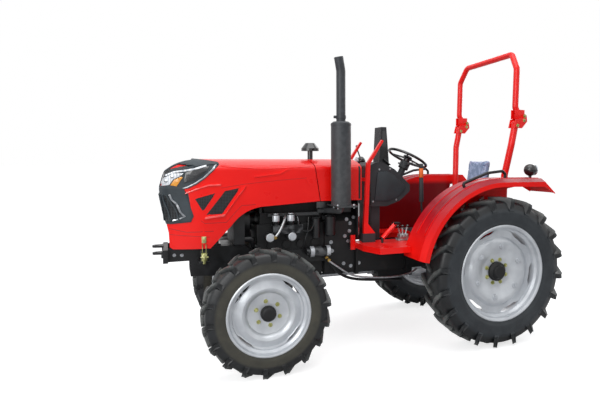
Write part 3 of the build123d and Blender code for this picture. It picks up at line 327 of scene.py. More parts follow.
BLACK = shaded("satin_black", [(14, 4), (0.35, 0.8)], (14, 15, 17), (28, 30, 33), [0.16, 0.36],
               [(300, 2), 0.0005, 0.2], Specular_IOR_Level=0.45)
# Sand-cast iron under a thin black paint, with dust in its hollows.
SAND = (160, 4, 0.65)
CASTING = shaded("black_casting", [(6, 4), (0.55, 0.85)], (13, 14, 16), (34, 34, 34), [0.25, 0.42, SAND],
                 [SAND, 0.0016, 0.5], Specular_IOR_Level=0.4)
GUNMETAL = grained_plastic("gunmetal_plastic", (40, 48, 53), (62, 72, 78))
CONSOLE = grained_plastic("console_plastic", (40, 42, 45), (54, 57, 61))
TRIM = grained_plastic("trim_plastic", (38, 43, 47), (54, 61, 66))
GLOSS = shaded("gloss_black", [(8, 3)], (13, 13, 15), (26, 27, 30), [0.12, 0.22], [(240, 1), 0.0003, 0.12],
               Coat_Weight=0.5, Coat_Roughness=0.1)
MUFFLER = muffler_black()
print("dark finishes:", BLACK.name, CASTING.name, GLOSS.name, MUFFLER.name)


# %% Rubber
def tyre_rubber(name, x, z, base, tip, side_dark, side_pale):
    """Black rubber: painted shade darkens it between the bars, a painted highlight greys the bars' tips, and the side
    wall is greyer.
    """
    paint = Paint(name, Specular_IOR_Level=0.5)
    along, _, up = paint.split(paint.place())
    reach = ((along - x) ** 2 + (up - z) ** 2) ** 0.5
    blotch = paint.noise(8, 5, 0.6).ramp(0.3, 0.75)
    # painted shade darkens the rubber between the bars; a painted highlight greys the bars' tips
    dark = paint.mix(blotch, rgb(15, 17, 19), rgb(28, 31, 34))
    tip_highlight = paint.mix(blotch, rgb(74, 78, 78), rgb(110, 113, 110))
    wall = paint.mix(blotch, rgb(*side_dark), rgb(*side_pale))
    tread = paint.mix(reach.ramp(base - 0.012, tip), dark, tip_highlight)
    paint.link("Base Color", paint.mix(reach.ramp(base - 0.085, base - 0.055), wall, tread))
    paint.link("Roughness", paint.noise(120, 3) * 0.14 + 0.34)
    paint.bump(paint.noise(260, 3), 0.0009, 0.4)
    return paint.material


RUBBER = {
    "front": tyre_rubber("tyre_rubber_front", 1.090, 0.496, 0.4705, 0.4975, (52, 51, 44), (68, 66, 56)),
    "rear": tyre_rubber("tyre_rubber_rear", -0.960, 0.673, 0.641, 0.675, (32, 37, 42), (48, 53, 57)),
}
HOSE = shaded("hose_rubber", [(30, 3)], (20, 21, 22), (36, 38, 40), [0.2, 0.45], [(380, 2), 0.0006, 0.3],
              Specular_IOR_Level=0.35)
print("rubber finishes:", ", ".join(RUBBER), "and", HOSE.name)


# %% Bare and plated metal
def plated(name, dark, light, rough, grain=240):
    """Plated or machined metal with a mottled colour."""
    return shaded(name, [(45, 3), (0.3, 0.75)], dark, light, [0.14, rough], [(grain, 2), 0.0003, 0.25], Metallic=0.9)


FLAKE = (900, 1)
SILVER = shaded("silver_enamel", [(6, 3), (0.3, 0.8)], (188, 192, 197), (214, 218, 222), [0.12, 0.3, FLAKE],
                [FLAKE, 0.0002, 0.12], Metallic=0.35, Coat_Weight=0.35, Coat_Roughness=0.15)
# Cast aluminium, dull and oily, darker in its hollows.
ENGINE_METAL = shaded("engine_metal", [(18, 4), (0.42, 0.68)], (24, 25, 27), (96, 98, 100), [0.15, 0.4],
                      [(150, 3), 0.0008, 0.4], Metallic=0.5, Specular_IOR_Level=0.4)
STEEL = plated("zinc_plate", (150, 153, 158), (190, 193, 197), 0.28)
YELLOW_ZINC = plated("yellow_zinc", (148, 150, 88), (214, 212, 160), 0.3)
CHROME = plated("chrome_trim", (190, 195, 200), (222, 226, 230), 0.08)
ALLOY = plated("cast_alloy", (168, 170, 172), (208, 210, 212), 0.42, 130)
BRASS = plated("brass", (150, 120, 60), (190, 160, 90), 0.35)
print("metal finishes:", SILVER.name, ENGINE_METAL.name, "and five plated ones")


# %% Lenses, seat, coloured plastic and mesh
def clear_lens():
    """A clear lamp lens seen over its bright reflector, with moulded flutes."""
    paint = Paint("clear_lens", Coat_Weight=1.0, Coat_Roughness=0.03, Specular_IOR_Level=0.6)
    flute = (paint.split(paint.place())[1] * 700).wave()
    paint.link("Base Color", paint.mix(flute.ramp(-1, 1), rgb(205, 212, 220), rgb(250, 252, 255)))
    paint.link("Roughness", flute * 0.04 + 0.14)
    paint.bump(flute, 0.0012, 0.4)
    return paint.material


def prism_lens(name, dark, light):
    """A coloured lens with small prisms."""
    paint = Paint(name, Coat_Weight=1.0, Coat_Roughness=0.04)
    prism = paint.cells("F1", 600)
    paint.link("Base Color", paint.mix(prism.ramp(0.1, 0.7), rgb(*light), rgb(*dark)))
    paint.link("Roughness", prism * 0.1 + 0.12)
    paint.bump(prism, 0.0008, 0.4)
    return paint.material


def perforated():
    """Black moulded mesh: rows of long holes, staggered, deeper than the bars, with painted shade in them."""
    paint = Paint("grille_mesh", Specular_IOR_Level=0.4)
    x, y, z = paint.split(paint.place())
    hole = abs(((x + y) * 260).wave()).least(abs((z * 260).wave())).ramp(0.25, 0.55)
    # painted shade: the holes are darker than the bars
    paint.link("Base Color", paint.mix(hole, rgb(46, 52, 56), rgb(10, 11, 12)))
    paint.link("Roughness", hole * 0.3 + 0.35)
    paint.bump(1 - hole, 0.003, 0.6)
    return paint.material


LENS = clear_lens()
AMBER = prism_lens("amber_lens", (228, 140, 20), (255, 190, 60))
SMOKE = prism_lens("smoked_lens", (14, 16, 19), (34, 38, 44))
# Blue-grey vinyl in a thin plastic wrap: fine creases, with its folds painted paler as a highlight.
CREASE = (22, 5, 0.65)
VINYL = shaded("seat_vinyl", [CREASE, (0.42, 0.62)], (112, 132, 168), (160, 176, 208), [0.2, 0.3],
               [CREASE, 0.004, 0.5], Coat_Weight=0.4, Coat_Roughness=0.2)
ORANGE = shaded("orange_plastic", [(40, 2)], (226, 96, 24), (244, 122, 40), [0.15, 0.35], [(300, 1), 0.0003, 0.2],
                Specular_IOR_Level=0.5)
MESH = perforated()
print("finishes in all:", len(bpy.data.materials))

# %% [markdown]
# ## The solids that stay
# Most solids have the right shape already: panels, tubes, castings. A table names a finish
# for each, and a star stands for the left and the right one. Only their slots change.

# %% Dress the solids
SIDES = {"left": 1, "right": -1}
SOLID_FINISH = {
    RED: "rear_cowl hood dash_posts rops_posts rops_hoop footboards",
    FENDER_RED: "fender_*",
    BLACK: "front_frame drawbar radiator filters grab_rails seat_base steering_cylinder lower_link_* lift_rod_* "
    "top_link controls fuel_tank",
    CASTING: "engine_block transmission_case rear_axle front_axle_beam knuckle_* lift_arms",
    ENGINE_METAL: "fuel_system alternator_starter",
    STEEL: "drive_shaft pto_shaft tie_rod steering_piston",
    GLOSS: "air_intake work_lamps steering_wheel battery fan",
    CONSOLE: "dash_console",
    TRIM: "grilles",
    SMOKE: "headlamps",
    MUFFLER: "exhaust",
    SILVER: "rim_front_* rim_rear_*",
    RUBBER["front"]: "tyre_front_*",
    RUBBER["rear"]: "tyre_rear_*",
    VINYL: "seat_cushions",
}
for finish, names in SOLID_FINISH.items():
    for name in names.split():
        for label in SIDES if name.endswith("*") else [""]:
            slots = NODES[name.replace("*", label)].data.materials
            slots.clear()
            slots.append(finish)
undressed = [name for name, node in NODES.items() if node.data.materials[0] not in SOLID_FINISH]
print("dressed", len(NODES) - len(undressed), "solids; left:", undressed)

# %% [markdown]
# ## Modelling tools
# Every new piece starts from a bmesh operator and is shaped by others: a profile is spun, a
# cube is cut and bent, a row is duplicated. A few helpers end each piece the same way: its
# faces point out, its object sits at the origin, it rides on a body and it has a finish.


def finish_piece(name, mesh, finish, crease=32, merge=1e-5, body="chassis"):
    """Turns a bmesh into a piece with a finish, which rides on a body."""
    if merge:
        bmesh.ops.remove_doubles(mesh, verts=mesh.verts, dist=merge)
    bmesh.ops.recalc_face_normals(mesh, faces=mesh.faces)
    data = bpy.data.meshes.new(name)
    mesh.to_mesh(data)
    mesh.free()
    data.materials.append(finish)
    for polygon in data.polygons:
        polygon.use_smooth = True
    data.set_sharp_from_angle(angle=math.radians(crease))
    piece = placed(name, data)
    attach(piece, body)
    return piece


def pour(source, target):
    """Adds one bmesh to another and frees it."""
    data = bpy.data.meshes.new("poured")
    source.to_mesh(data)
    source.free()
    target.from_mesh(data)
    bpy.data.meshes.remove(data)


def spun(mesh, points, centre, axis, steps=64):
    """Closed ring or shaft: points are (along the axis, radius) of a closed outline."""
    axis = Vector(axis).normalized()
    out = axis.orthogonal().normalized()
    corners = [mesh.verts.new(Vector(centre) + axis * along + out * radius) for along, radius in points]
    edges = [mesh.edges.new((a, b)) for a, b in zip(corners, corners[1:] + corners[:1])]
    bmesh.ops.spin(
        mesh, geom=corners + edges, cent=centre, axis=axis, angle=2 * math.pi, steps=steps, use_merge=True
    )


def round_off(mesh, edges, offset, clamp=False):
    """Rounds edges in two steps."""
    return bmesh.ops.bevel(mesh, geom=edges, offset=offset, segments=2, profile=0.5, affect="EDGES", material=-1,
                           clamp_overlap=clamp)


def rod(mesh, start, end, radius, tip=None, sides=24, bevel=0.0):
    """Round bar, cone or disc between two points."""
    start, end = Vector(start), Vector(end)
    run = end - start
    spot = Matrix.Translation((start + end) / 2) @ run.to_track_quat("Z", "Y").to_matrix().to_4x4()
    made = bmesh.ops.create_cone(
        mesh, cap_ends=True, segments=sides, radius1=radius, radius2=radius if tip is None else tip,
        depth=run.length, matrix=spot,
    )
    if bevel:
        rim = [e for e in {e for v in made["verts"] for e in v.link_edges} if e.calc_face_angle(0) > 1.0]
        round_off(mesh, rim, bevel)


def slab(mesh, low, high, bevel=0.004, turn=None, pivot=None):
    """Box between two opposite corners with its edges rounded, turned about a pivot if asked."""
    low, high = Vector([*map(min, low, high)]), Vector([*map(max, low, high)])
    middle = (low + high) / 2
    made = bmesh.ops.create_cube(mesh, size=1, matrix=Matrix.Translation(middle))
    bmesh.ops.scale(mesh, verts=made["verts"], vec=high - low, space=Matrix.Translation(-middle))
    verts = set(made["verts"])
    if bevel:
        edges = list({e for v in verts for e in v.link_edges})
        cut = round_off(mesh, edges, bevel)
        verts = {v for v in verts if v.is_valid} | set(cut["verts"])
    if turn:
        bmesh.ops.rotate(mesh, verts=list(verts), cent=pivot or middle, matrix=turn)


def tube(name, points, radius, finish, bend):
    """Pipe or hose fixed at both ends, along one smooth curve through its points."""
    curve = bpy.data.curves.new(name, "CURVE")
    curve.dimensions = "3D"
    line = curve.splines.new("NURBS")
    line.points.add(len(points) - 1)
    for spot, point in zip(line.points, points):
        spot.co = (*point, 1)
    line.order_u = 3
    line.use_endpoint_u = True
    curve.resolution_u = bend
    curve.bevel_depth = radius
    curve.bevel_resolution = 3
    curve.use_fill_caps = True
    maker = placed(name, curve)
    data = bpy.data.meshes.new_from_object(maker.evaluated_get(bpy.context.evaluated_depsgraph_get()))
    bpy.data.objects.remove(maker)
    bpy.data.curves.remove(curve)
    mesh = bmesh.new()
    mesh.from_mesh(data)
    bpy.data.meshes.remove(data)
    return finish_piece(name, mesh, finish)


def rounded(before, corner, after, radius, steps):
    """Points of the arc that rounds one corner of a bent tube."""
    back, ahead = (before - corner).normalized(), (after - corner).normalized()
    half = back.angle(ahead) / 2
    run = radius / math.tan(half)
    middle = corner + (back + ahead).normalized() * (radius / math.sin(half))
    first, last = corner + back * run - middle, corner + ahead * run - middle
    axis = first.cross(last).normalized()
    return [middle + Matrix.Rotation(first.angle(last) * k / steps, 3, axis) @ first for k in range(steps + 1)]


def swept(mesh, points, radius, sides):
    """Round tube whose middle line runs straight from point to point."""
    rings, across = [], Vector((0, 1, 0))
    angles = [2 * math.pi * n / sides for n in range(sides)]
    for k, point in enumerate(points):
        along = (points[min(k + 1, len(points) - 1)] - points[max(k - 1, 0)]).normalized()
        across = (across - along * across.dot(along)).normalized()
        up = along.cross(across)
        rings.append([mesh.verts.new(point + radius * (across * math.cos(a) + up * math.sin(a))) for a in angles])
    for low, high in zip(rings, rings[1:]):
        for n in range(sides):
            m = (n + 1) % sides
            mesh.faces.new((low[n], low[m], high[m], high[n]))
    mesh.faces.new(rings[0][::-1])
    mesh.faces.new(rings[-1])


def ring_of(mesh, verts, centre, axis, count, start=0.0):
    """Copies some vertices' faces round an axis, evenly, and drops the first one."""
    faces = list({f for v in verts for f in v.link_faces})
    for k in range(count):
        copy = bmesh.ops.duplicate(mesh, geom=faces + list({e for f in faces for e in f.edges}) + list(verts))
        moved = [g for g in copy["geom"] if isinstance(g, bmesh.types.BMVert)]
        turn = Matrix.Rotation(start + 2 * math.pi * k / count, 3, Vector(axis))
        bmesh.ops.rotate(mesh, verts=moved, cent=centre, matrix=turn)
    bmesh.ops.delete(mesh, geom=list(verts), context="VERTS")


print("tools ready")

# %% [markdown]
# ## Tyres
# A tractor tyre is a round carcass with two rows of curved bars, staggered so that one of
# them always bites. The carcass is a spun outline with a bulging side wall. A bar starts as
# a cube, is cut across, bevelled, and bent onto the tread by moving each of its vertices:
# along the bar it follows the tread and turns down over the shoulder, and it trails behind.

# %% Tyre sizes
WHEELS = {
    "front": dict(x=1.090, y=0.615, radius=0.4975, half=0.1055, bead=0.305, flange=0.324, rim_half=0.106,
                  lug=0.027, lugs=18, bar=0.025),
    "rear": dict(x=-0.960, y=0.675, radius=0.675, half=0.1575, bead=0.406, flange=0.432, rim_half=0.149,
                 lug=0.034, lugs=20, bar=0.033),
}
for sizes in WHEELS.values():
    sizes["z"] = sizes["radius"] * math.cos(math.pi / 2 / sizes["lugs"])
print({axle: round(sizes["z"], 4) for axle, sizes in WHEELS.items()})


# %% One tread bar, bent onto the tyre
# Stations along a bar: place across (in half widths), tip and foot below their own circles (in
# side-wall heights), how far the bar trails (in half widths), its width.
BAR = [
    (-0.06, 0.00, 0.06, 0.00, 0.80),
    (0.08, 0.00, 0.06, 0.08, 1.00),
    (0.26, 0.00, 0.06, 0.27, 1.00),
    (0.46, 0.00, 0.07, 0.46, 1.00),
    (0.66, 0.01, 0.10, 0.62, 1.04),
    (0.84, 0.03, 0.17, 0.74, 1.10),
    (0.955, 0.06, 0.26, 0.82, 1.18),
    (0.985, 0.17, 0.34, 0.85, 1.22),
    (0.975, 0.33, 0.40, 0.87, 1.10),
]


def tread_bar(mesh, w, centre, side):
    """A bar from the middle of the tread, over the shoulder and onto the side wall."""
    base, half = w["radius"] - w["lug"], w["half"]
    wall = base - w["bead"]
    bmesh.ops.create_cube(mesh, size=1)
    length = [e for e in mesh.edges if abs(e.verts[0].co.x - e.verts[1].co.x) > 0.5]
    bmesh.ops.subdivide_edges(mesh, edges=length, cuts=len(BAR) - 2)
    for v in mesh.verts:
        across, tip, foot, trail, wide = BAR[round((v.co.x + 0.5) * (len(BAR) - 1))]
        up = v.co.z + 0.5
        top = w["radius"] - tip * wall - 0.001
        radius = top * up + (base - foot * wall) * (1 - up)
        turn = (v.co.y * w["bar"] * wide * (1.45 - 0.45 * up) - trail * half) / w["radius"]
        depth = across - 0.02 * up * (across > 0.9)
        v.co = Vector((radius * math.sin(turn), side * half * depth, radius * math.cos(turn))) + Vector(centre)


def tyre(axle, label):
    """Carcass and two rows of bars, joined as one piece."""
    w, side = WHEELS[axle], SIDES[label]
    centre = (w["x"], side * w["y"], w["z"])
    base, half, bead, seat = w["radius"] - w["lug"], w["half"], w["bead"], w["rim_half"] - 0.008
    wall = base - bead
    outline = [(seat * 0.98, bead + 0.001), (seat, w["flange"] + 0.002), (half * 0.985, bead + 0.24 * wall),
               (half * 0.99, bead + 0.26 * wall), (half, bead + 0.42 * wall), (half * 0.985, bead + 0.56 * wall),
               (half * 0.99, bead + 0.585 * wall), (half * 0.92, base - 0.28 * wall),
               (half * 0.84, base - 0.14 * wall), (half * 0.74, base - 0.045 * wall), (half * 0.5, base),
               (half * 0.2, base + 0.002)]
    outline += [(-y, r) for y, r in reversed(outline)]
    tread = bmesh.new()
    lean = math.radians(360 / w["lugs"])
    for row, start in ((1, 0.25), (-1, 0.75)):
        bar = bmesh.new()
        tread_bar(bar, w, centre, row)
        sharp = [e for e in bar.edges if e.calc_face_angle(0) > 0.6]
        round_off(bar, sharp, 0.0035, True)
        for v in bar.verts:
            out = Vector((v.co.x - centre[0], 0, v.co.z - centre[2]))
            v.co += out * (min(1, w["z"] / out.length) - 1)
        ring_of(bar, list(bar.verts), centre, (0, 1, 0), w["lugs"], start * lean)
        pour(bar, tread)
    bmesh.ops.recalc_face_normals(tread, faces=tread.faces)
    spun(tread, outline, centre, (0, 1, 0), 96)
    name = f"tyre_{axle}_{label}"
    piece = finish_piece(f"{name}_treaded", tread, RUBBER[axle], 40, 0, f"wheel_{axle}_{label}")
    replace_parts(piece, name)
    return piece


for axle in WHEELS:
    for label in SIDES:
        piece = tyre(axle, label)
        print(piece.name, len(piece.data.polygons), "faces")

# %% [markdown]
# ## Pressed wheels
# Each wheel is a rolled channel with a drop centre, and a pressed disc inside it. The rear
# disc has six lobes that reach the channel, with gaps between them, and a nut seat in each.
# The front disc is round, with four long slots at its edge. The outline is spun, then its
# outer ring is pulled in where a gap is, so that the edge stays one clean loop.


# %% Wheel sizes
# Outlines are (out from the wheel's middle, radius). A gap row is: how many, the first one's
# angle, its width in degrees, its depth and where the pull begins. Nuts are: how many, on which
# circle, their size and the face that they sit on.
PRESSED = {
    "front": dict(
        disc=[(0.046, 0.258), (0.050, 0.246), (0.066, 0.216), (0.070, 0.203), (0.066, 0.190), (0.050, 0.172),
              (0.032, 0.160), (0.027, 0.148), (0.026, 0.0)],
        edge_at=0.050, thick=0.008, gaps=(4, 42, 40, 0.016, 0.25), seats=0, nuts=(6, 0.096, 0.0125, 0.026),
        cap=[(0.020, 0.0), (0.020, 0.060), (0.058, 0.0595), (0.066, 0.056), (0.075, 0.046), (0.078, 0.036),
             (0.078, 0.0)],
        inner=0.500, shank=0.060, hub_flange=0.118, face=0.016,
    ),
    "rear": dict(
        disc=[(0.058, 0.345), (0.060, 0.318), (0.072, 0.300), (0.080, 0.285), (0.082, 0.262), (0.078, 0.245),
              (0.052, 0.175), (0.043, 0.155), (0.041, 0.135), (0.041, 0.0)],
        edge_at=0.062, thick=0.010, gaps=(6, 8, 36, 0.027, 0.29), seats=6, nuts=(8, 0.108, 0.014, 0.041),
        cap=[(0.030, 0.0), (0.030, 0.088), (0.062, 0.086), (0.068, 0.080), (0.078, 0.062), (0.096, 0.056),
             (0.100, 0.050), (0.100, 0.0)],
        inner=0.532, shank=0.084, hub_flange=0.128, face=0.028,
    ),
}
print("disc outlines:", {axle: len(sizes["disc"]) for axle, sizes in PRESSED.items()})


# %% Rolled channel
def channel(mesh, w, centre):
    """Rim with two flanges and a drop centre."""
    bead, flange, half = w["bead"], w["flange"], w["rim_half"]
    well = bead - 0.03
    face = [(half - 0.002, flange - 0.004), (half, flange - 0.010), (half - 0.003, flange - 0.018),
            (half - 0.012, bead - 0.002), (half * 0.72, bead - 0.008), (half * 0.6, well + 0.004), (half * 0.5, well)]
    hidden = [(half * 0.5, well + 0.006), (half * 0.6, bead - 0.004), (half - 0.016, bead),
              (half - 0.008, flange - 0.006), (half - 0.006, flange)]
    outline = face + [(-y, r) for y, r in reversed(face)]
    outline += [(-y, r) for y, r in reversed(hidden)] + hidden
    spun(mesh, outline, centre, (0, 1, 0), 96)


# %% Pressed disc
def pressed_disc(mesh, centre, side, outline, thick, gaps, outer, steps=144):
    """Disc spun from its outline, with its outer rings pulled in where the gaps are."""
    front = [(side * y, r) for y, r in outline]
    back = [(side * (y - thick), r) for y, r in reversed(outline)]
    before = set(mesh.verts)
    spun(mesh, front + back, centre, (0, 1, 0), steps)
    count, start, wide, deep, fade = gaps
    for v in set(mesh.verts) - before:
        rel = v.co - Vector(centre)
        radius = math.hypot(rel.x, rel.z)
        if radius < fade:
            continue
        angle = math.degrees(math.atan2(rel.z, rel.x))
        off = abs((angle - start + 180 / count) % (360 / count) - 180 / count)
        amount = max(0.0, min(1.0, (wide / 2 - off) / (0.28 * wide)))
        amount = amount * amount * (3 - 2 * amount)
        pull = 1 - amount * deep * (radius - fade) / (outer - fade) / radius
        v.co = Vector((centre[0] + rel.x * pull, v.co.y, centre[2] + rel.z * pull))


def nut(mesh, x, y, z, side, radius, height):
    """Hexagon head on a washer, with a stub of thread, facing out."""
    rod(mesh, (x, y, z), (x, y + side * 0.003, z), radius * 1.35, sides=20)
    rod(mesh, (x, y + side * 0.001, z), (x, y + side * height, z), radius, tip=radius * 0.94, sides=6)
    rod(mesh, (x, y + side * height * 0.9, z), (x, y + side * (height + 0.006), z), radius * 0.5, sides=12)


def circle(centre, radius, start, count):
    """X and Z of evenly spaced places round a wheel."""
    for k in range(count):
        angle = math.radians(start + 360 / count * k)
        yield centre[0] + radius * math.cos(angle), centre[2] + radius * math.sin(angle)


def wheel(axle, label):
    """Channel and disc in silver, hub in black, nuts in yellow zinc."""
    w, p, side = WHEELS[axle], PRESSED[axle], SIDES[label]
    centre = (w["x"], side * w["y"], w["z"])
    body = f"wheel_{axle}_{label}"
    metal = bmesh.new()
    channel(metal, w, centre)
    edge = w["bead"] - 0.031
    pressed_disc(metal, centre, side, [(p["edge_at"], edge)] + p["disc"], p["thick"], p["gaps"], edge)
    for x, z in circle(centre, 0.233, 38, p["seats"]):
        rod(metal, (x, centre[1] + side * 0.060, z), (x, centre[1] + side * 0.084, z), 0.030, tip=0.024)
        nut(metal, x, centre[1] + side * 0.083, z, side, 0.012, 0.010)
    piece = finish_piece(f"rim_{axle}_{label}_pressed", metal, SILVER, 28, 1e-6, body)
    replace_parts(piece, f"rim_{axle}_{label}")
    hub = bmesh.new()
    spun(hub, [(side * y, r) for y, r in p["cap"]], centre, (0, 1, 0), 48)
    inner, face = side * p["inner"], centre[1] + side * p["face"]
    back = [(inner, 0), (inner, p["shank"]), (centre[1] - side * 0.02, p["shank"]),
            (centre[1] - side * 0.01, p["hub_flange"]), (face, p["hub_flange"]), (face, 0)]
    spun(hub, back, (centre[0], 0, centre[2]), (0, 1, 0), 48)
    finish_piece(f"hub_{axle}_{label}", hub, CASTING, 30, body=body)
    nuts = bmesh.new()
    count, radius, size, seat = p["nuts"]
    for x, z in circle(centre, radius, 20, count):
        nut(nuts, x, centre[1] + side * seat, z, side, size, 0.014)
    finish_piece(f"nuts_{axle}_{label}", nuts, YELLOW_ZINC, 30, body=body)
    return piece


for axle in WHEELS:
    for label in SIDES:
        print(wheel(axle, label).name)

# %% [markdown]
# ## Panels laid on the hood
# The hood is one curved skin. Its grille, lamps, trim and creases are drawn flat, as shapes
# in a side, top or wrapped view, cut into narrow bands so that they can bend, and then laid
# on the skin: each vertex travels along its ray until it meets the hood. The laid sheet is
# extruded to its thickness and its rim is rounded.

# %% Skin and views
def skin_of(*names):
    """Search tree over some solids' surfaces, in the shared frame."""
    mesh = bmesh.new()
    for name in names:
        mesh.from_mesh(NODES[name].data)
    tree = BVHTree.FromBMesh(mesh)
    mesh.free()
    return tree


HOOD_SKIN = skin_of("hood", "grilles", "headlamps")
COWL_SKIN = skin_of("rear_cowl")
WRAP = Vector((1.550, 0, 0))


def side_view(side):
    """Shapes drawn as (X, Z), seen square from one side."""
    return lambda u, v: (Vector((u, side * 0.9, v)), Vector((0, -side, 0)))


def top_view(u, v):
    """Shapes drawn as (X, Y), seen from above."""
    return Vector((u, v, 2.6)), Vector((0, 0, -1))


def wrap_view(side):
    """Shapes drawn as (degrees round the nose from straight ahead, Z)."""
    def ray(u, v):
        out = Vector((math.cos(math.radians(u)), side * math.sin(math.radians(u)), 0))
        return WRAP + out * 0.9 + Vector((0, 0, v)), -out
    return ray


# %% Flat shapes and laying them down
def outline(mesh, corners):
    """Flat face from its corners."""
    verts = [mesh.verts.new((u, v, 0)) for u, v in corners]
    edges = [mesh.edges.new((a, b)) for a, b in zip(verts, verts[1:] + verts[:1])]
    bmesh.ops.contextual_create(mesh, geom=edges)


def ribbon(mesh, points, shift):
    """Narrow band: a polyline's edges extruded sideways."""
    verts = [mesh.verts.new((u, v, 0)) for u, v in points]
    edges = [mesh.edges.new(pair) for pair in zip(verts, verts[1:])]
    grown = bmesh.ops.extrude_edge_only(mesh, edges=edges)
    moved = [g for g in grown["geom"] if isinstance(g, bmesh.types.BMVert)]
    bmesh.ops.translate(mesh, verts=moved, vec=(*shift, 0))


def lay(mesh, view, skin, lift, thick, cuts=(0, 0), bevel=0.0):
    """Bends flat shapes onto a skin and gives them thickness; cuts are band widths along u and v."""
    for axis, width in ((0, cuts[0]), (1, cuts[1])):
        if not width:
            continue
        spots = [v.co[axis] for v in mesh.verts]
        normal = Vector((axis == 0, axis == 1, 0))
        for k in range(math.ceil(min(spots) / width), math.floor(max(spots) / width) + 1):
            everything = mesh.verts[:] + mesh.edges[:] + mesh.faces[:]
            bmesh.ops.bisect_plane(mesh, geom=everything, plane_co=normal * (k * width), plane_no=normal)
    outs, missed = {}, []
    for v in mesh.verts:
        start, ray = view(v.co.x, v.co.y)
        hit, normal, _, _ = skin.ray_cast(start, ray)
        if hit is None:
            missed.append(v)
            continue
        if normal.dot(ray) > 0:
            normal = -normal
        outs[v] = (normal - ray * 0.6).normalized()
        v.co = hit + outs[v] * lift
    bmesh.ops.delete(mesh, geom=missed, context="VERTS")
    mesh.normal_update()
    grown = bmesh.ops.extrude_face_region(mesh, geom=mesh.faces[:], use_keep_orig=True)
    tops = [g for g in grown["geom"] if isinstance(g, bmesh.types.BMVert)]
    below = {tuple(round(c, 6) for c in v.co): out for v, out in outs.items() if v.is_valid}
    for v in tops:
        v.co += below[tuple(round(c, 6) for c in v.co)] * thick
    if bevel:
        bmesh.ops.recalc_face_normals(mesh, faces=mesh.faces)
        top = set(tops)
        rim = [e for e in mesh.edges if e.verts[0] in top and e.verts[1] in top and e.calc_face_angle(0) > 0.9]
        round_off(mesh, rim, bevel, True)


def panel(name, shapes, view, skin, sizes, finish, crease=40, body="hood"):
    """One piece from outlines, or ribbons given as (points, shift), laid on a skin.

    sizes are the lift, the thickness, the band widths and the bevel.
    """
    mesh = bmesh.new()
    for shape in shapes:
        if isinstance(shape, tuple):
            ribbon(mesh, *shape)
        else:
            outline(mesh, shape)
    lay(mesh, view, skin, *sizes)
    return finish_piece(name, mesh, finish, crease, body=body)


def mirrored(points):
    """Points followed by their mirror images, back to the start."""
    return points + [(-u, v) for u, v in reversed(points) if u]


print("hood skin and views ready")

# %% [markdown]
# ## Nose, grille and lamps
# The red shell ends in a dark face. A wide gunmetal frame wraps round the nose, with slats
# behind a bright bent trim at each corner. Above it each lamp has a clear part with an amber
# flash under it, then a long smoked part that tapers back, edged by a pale strip. A dark
# brow joins both lamps over the top.

# %% Nose face
FACE = [(30, 1.470), (53, 1.470), (67, 1.462), (69, 1.410), (74, 1.330), (80, 1.232), (76, 1.184), (49, 1.169),
        (30, 1.172)]
panel("nose_face", [mirrored(FACE)], wrap_view(1), HOOD_SKIN, (0.0005, 0.006, (6, 0.06), 0.003), GUNMETAL)
GRILLE = [(0, 1.402), (31, 1.400), (45.5, 1.404), (55, 1.312), (65, 1.229), (50, 1.188), (30, 1.190), (0, 1.192)]
panel("nose_grille_back", [mirrored(GRILLE)], wrap_view(1), HOOD_SKIN, (0.005, 0.003, (6, 0.06)), MESH)
slats = []
for k in range(-6, 7):
    spread = 1 + 0.05 * abs(k)
    slats.append(([(7.0 * k, 1.398), (7.0 * k * spread, 1.28), (7.6 * k * spread, 1.196)], (1.7, 0)))
panel("nose_grille_slats", slats, wrap_view(1), HOOD_SKIN, (0.007, 0.009, (0, 0.04), 0.002), GUNMETAL)
TRIM_BENDS = [([(46.0, 1.400), (49, 1.358), (55.5, 1.326), (60.5, 1.262), (67, 1.224)], (2.6, 0.004)),
              ([(68, 1.224), (60.5, 1.206), (51, 1.192)], (0, 0.011))]
for label, side in SIDES.items():
    panel(f"nose_trim_{label}", TRIM_BENDS, wrap_view(side), HOOD_SKIN, (0.007, 0.008, (3, 0.03), 0.002),
          CHROME)
print("nose face, grille,", len(slats), "slats and trim")

# %% Lamps
LAMP_PARTS = {
    "frame": (GUNMETAL, 0.0010, 0.005,
              [(1.832, 1.440), (1.828, 1.530), (1.760, 1.590), (1.665, 1.606), (1.588, 1.630), (1.472, 1.640),
               (1.402, 1.646), (1.400, 1.634), (1.445, 1.590), (1.514, 1.524), (1.572, 1.482), (1.640, 1.448)]),
    "clear": (LENS, 0.0060, 0.004,
              [(1.825, 1.524), (1.748, 1.566), (1.668, 1.568), (1.692, 1.548), (1.746, 1.520), (1.776, 1.476),
               (1.827, 1.470)]),
    "flash": (LENS, 0.0080, 0.004,
              [(1.806, 1.556), (1.742, 1.584), (1.640, 1.598), (1.500, 1.626), (1.498, 1.616), (1.640, 1.584),
               (1.738, 1.570), (1.800, 1.544)]),
    "amber": (AMBER, 0.0060, 0.0035,
              [(1.768, 1.474), (1.740, 1.516), (1.690, 1.541), (1.676, 1.537), (1.722, 1.466)]),
    "smoked": (SMOKE, 0.0060, 0.004,
               [(1.655, 1.572), (1.588, 1.602), (1.474, 1.620), (1.500, 1.588), (1.576, 1.518), (1.668, 1.490),
                (1.661, 1.540)]),
}
PALE_STRIP = [(1.402, 1.646), (1.445, 1.596), (1.514, 1.530), (1.572, 1.489), (1.632, 1.458), (1.668, 1.446)]
REFLECTORS = ((1.796, 1.508, 0.019), (1.752, 1.542, 0.017))
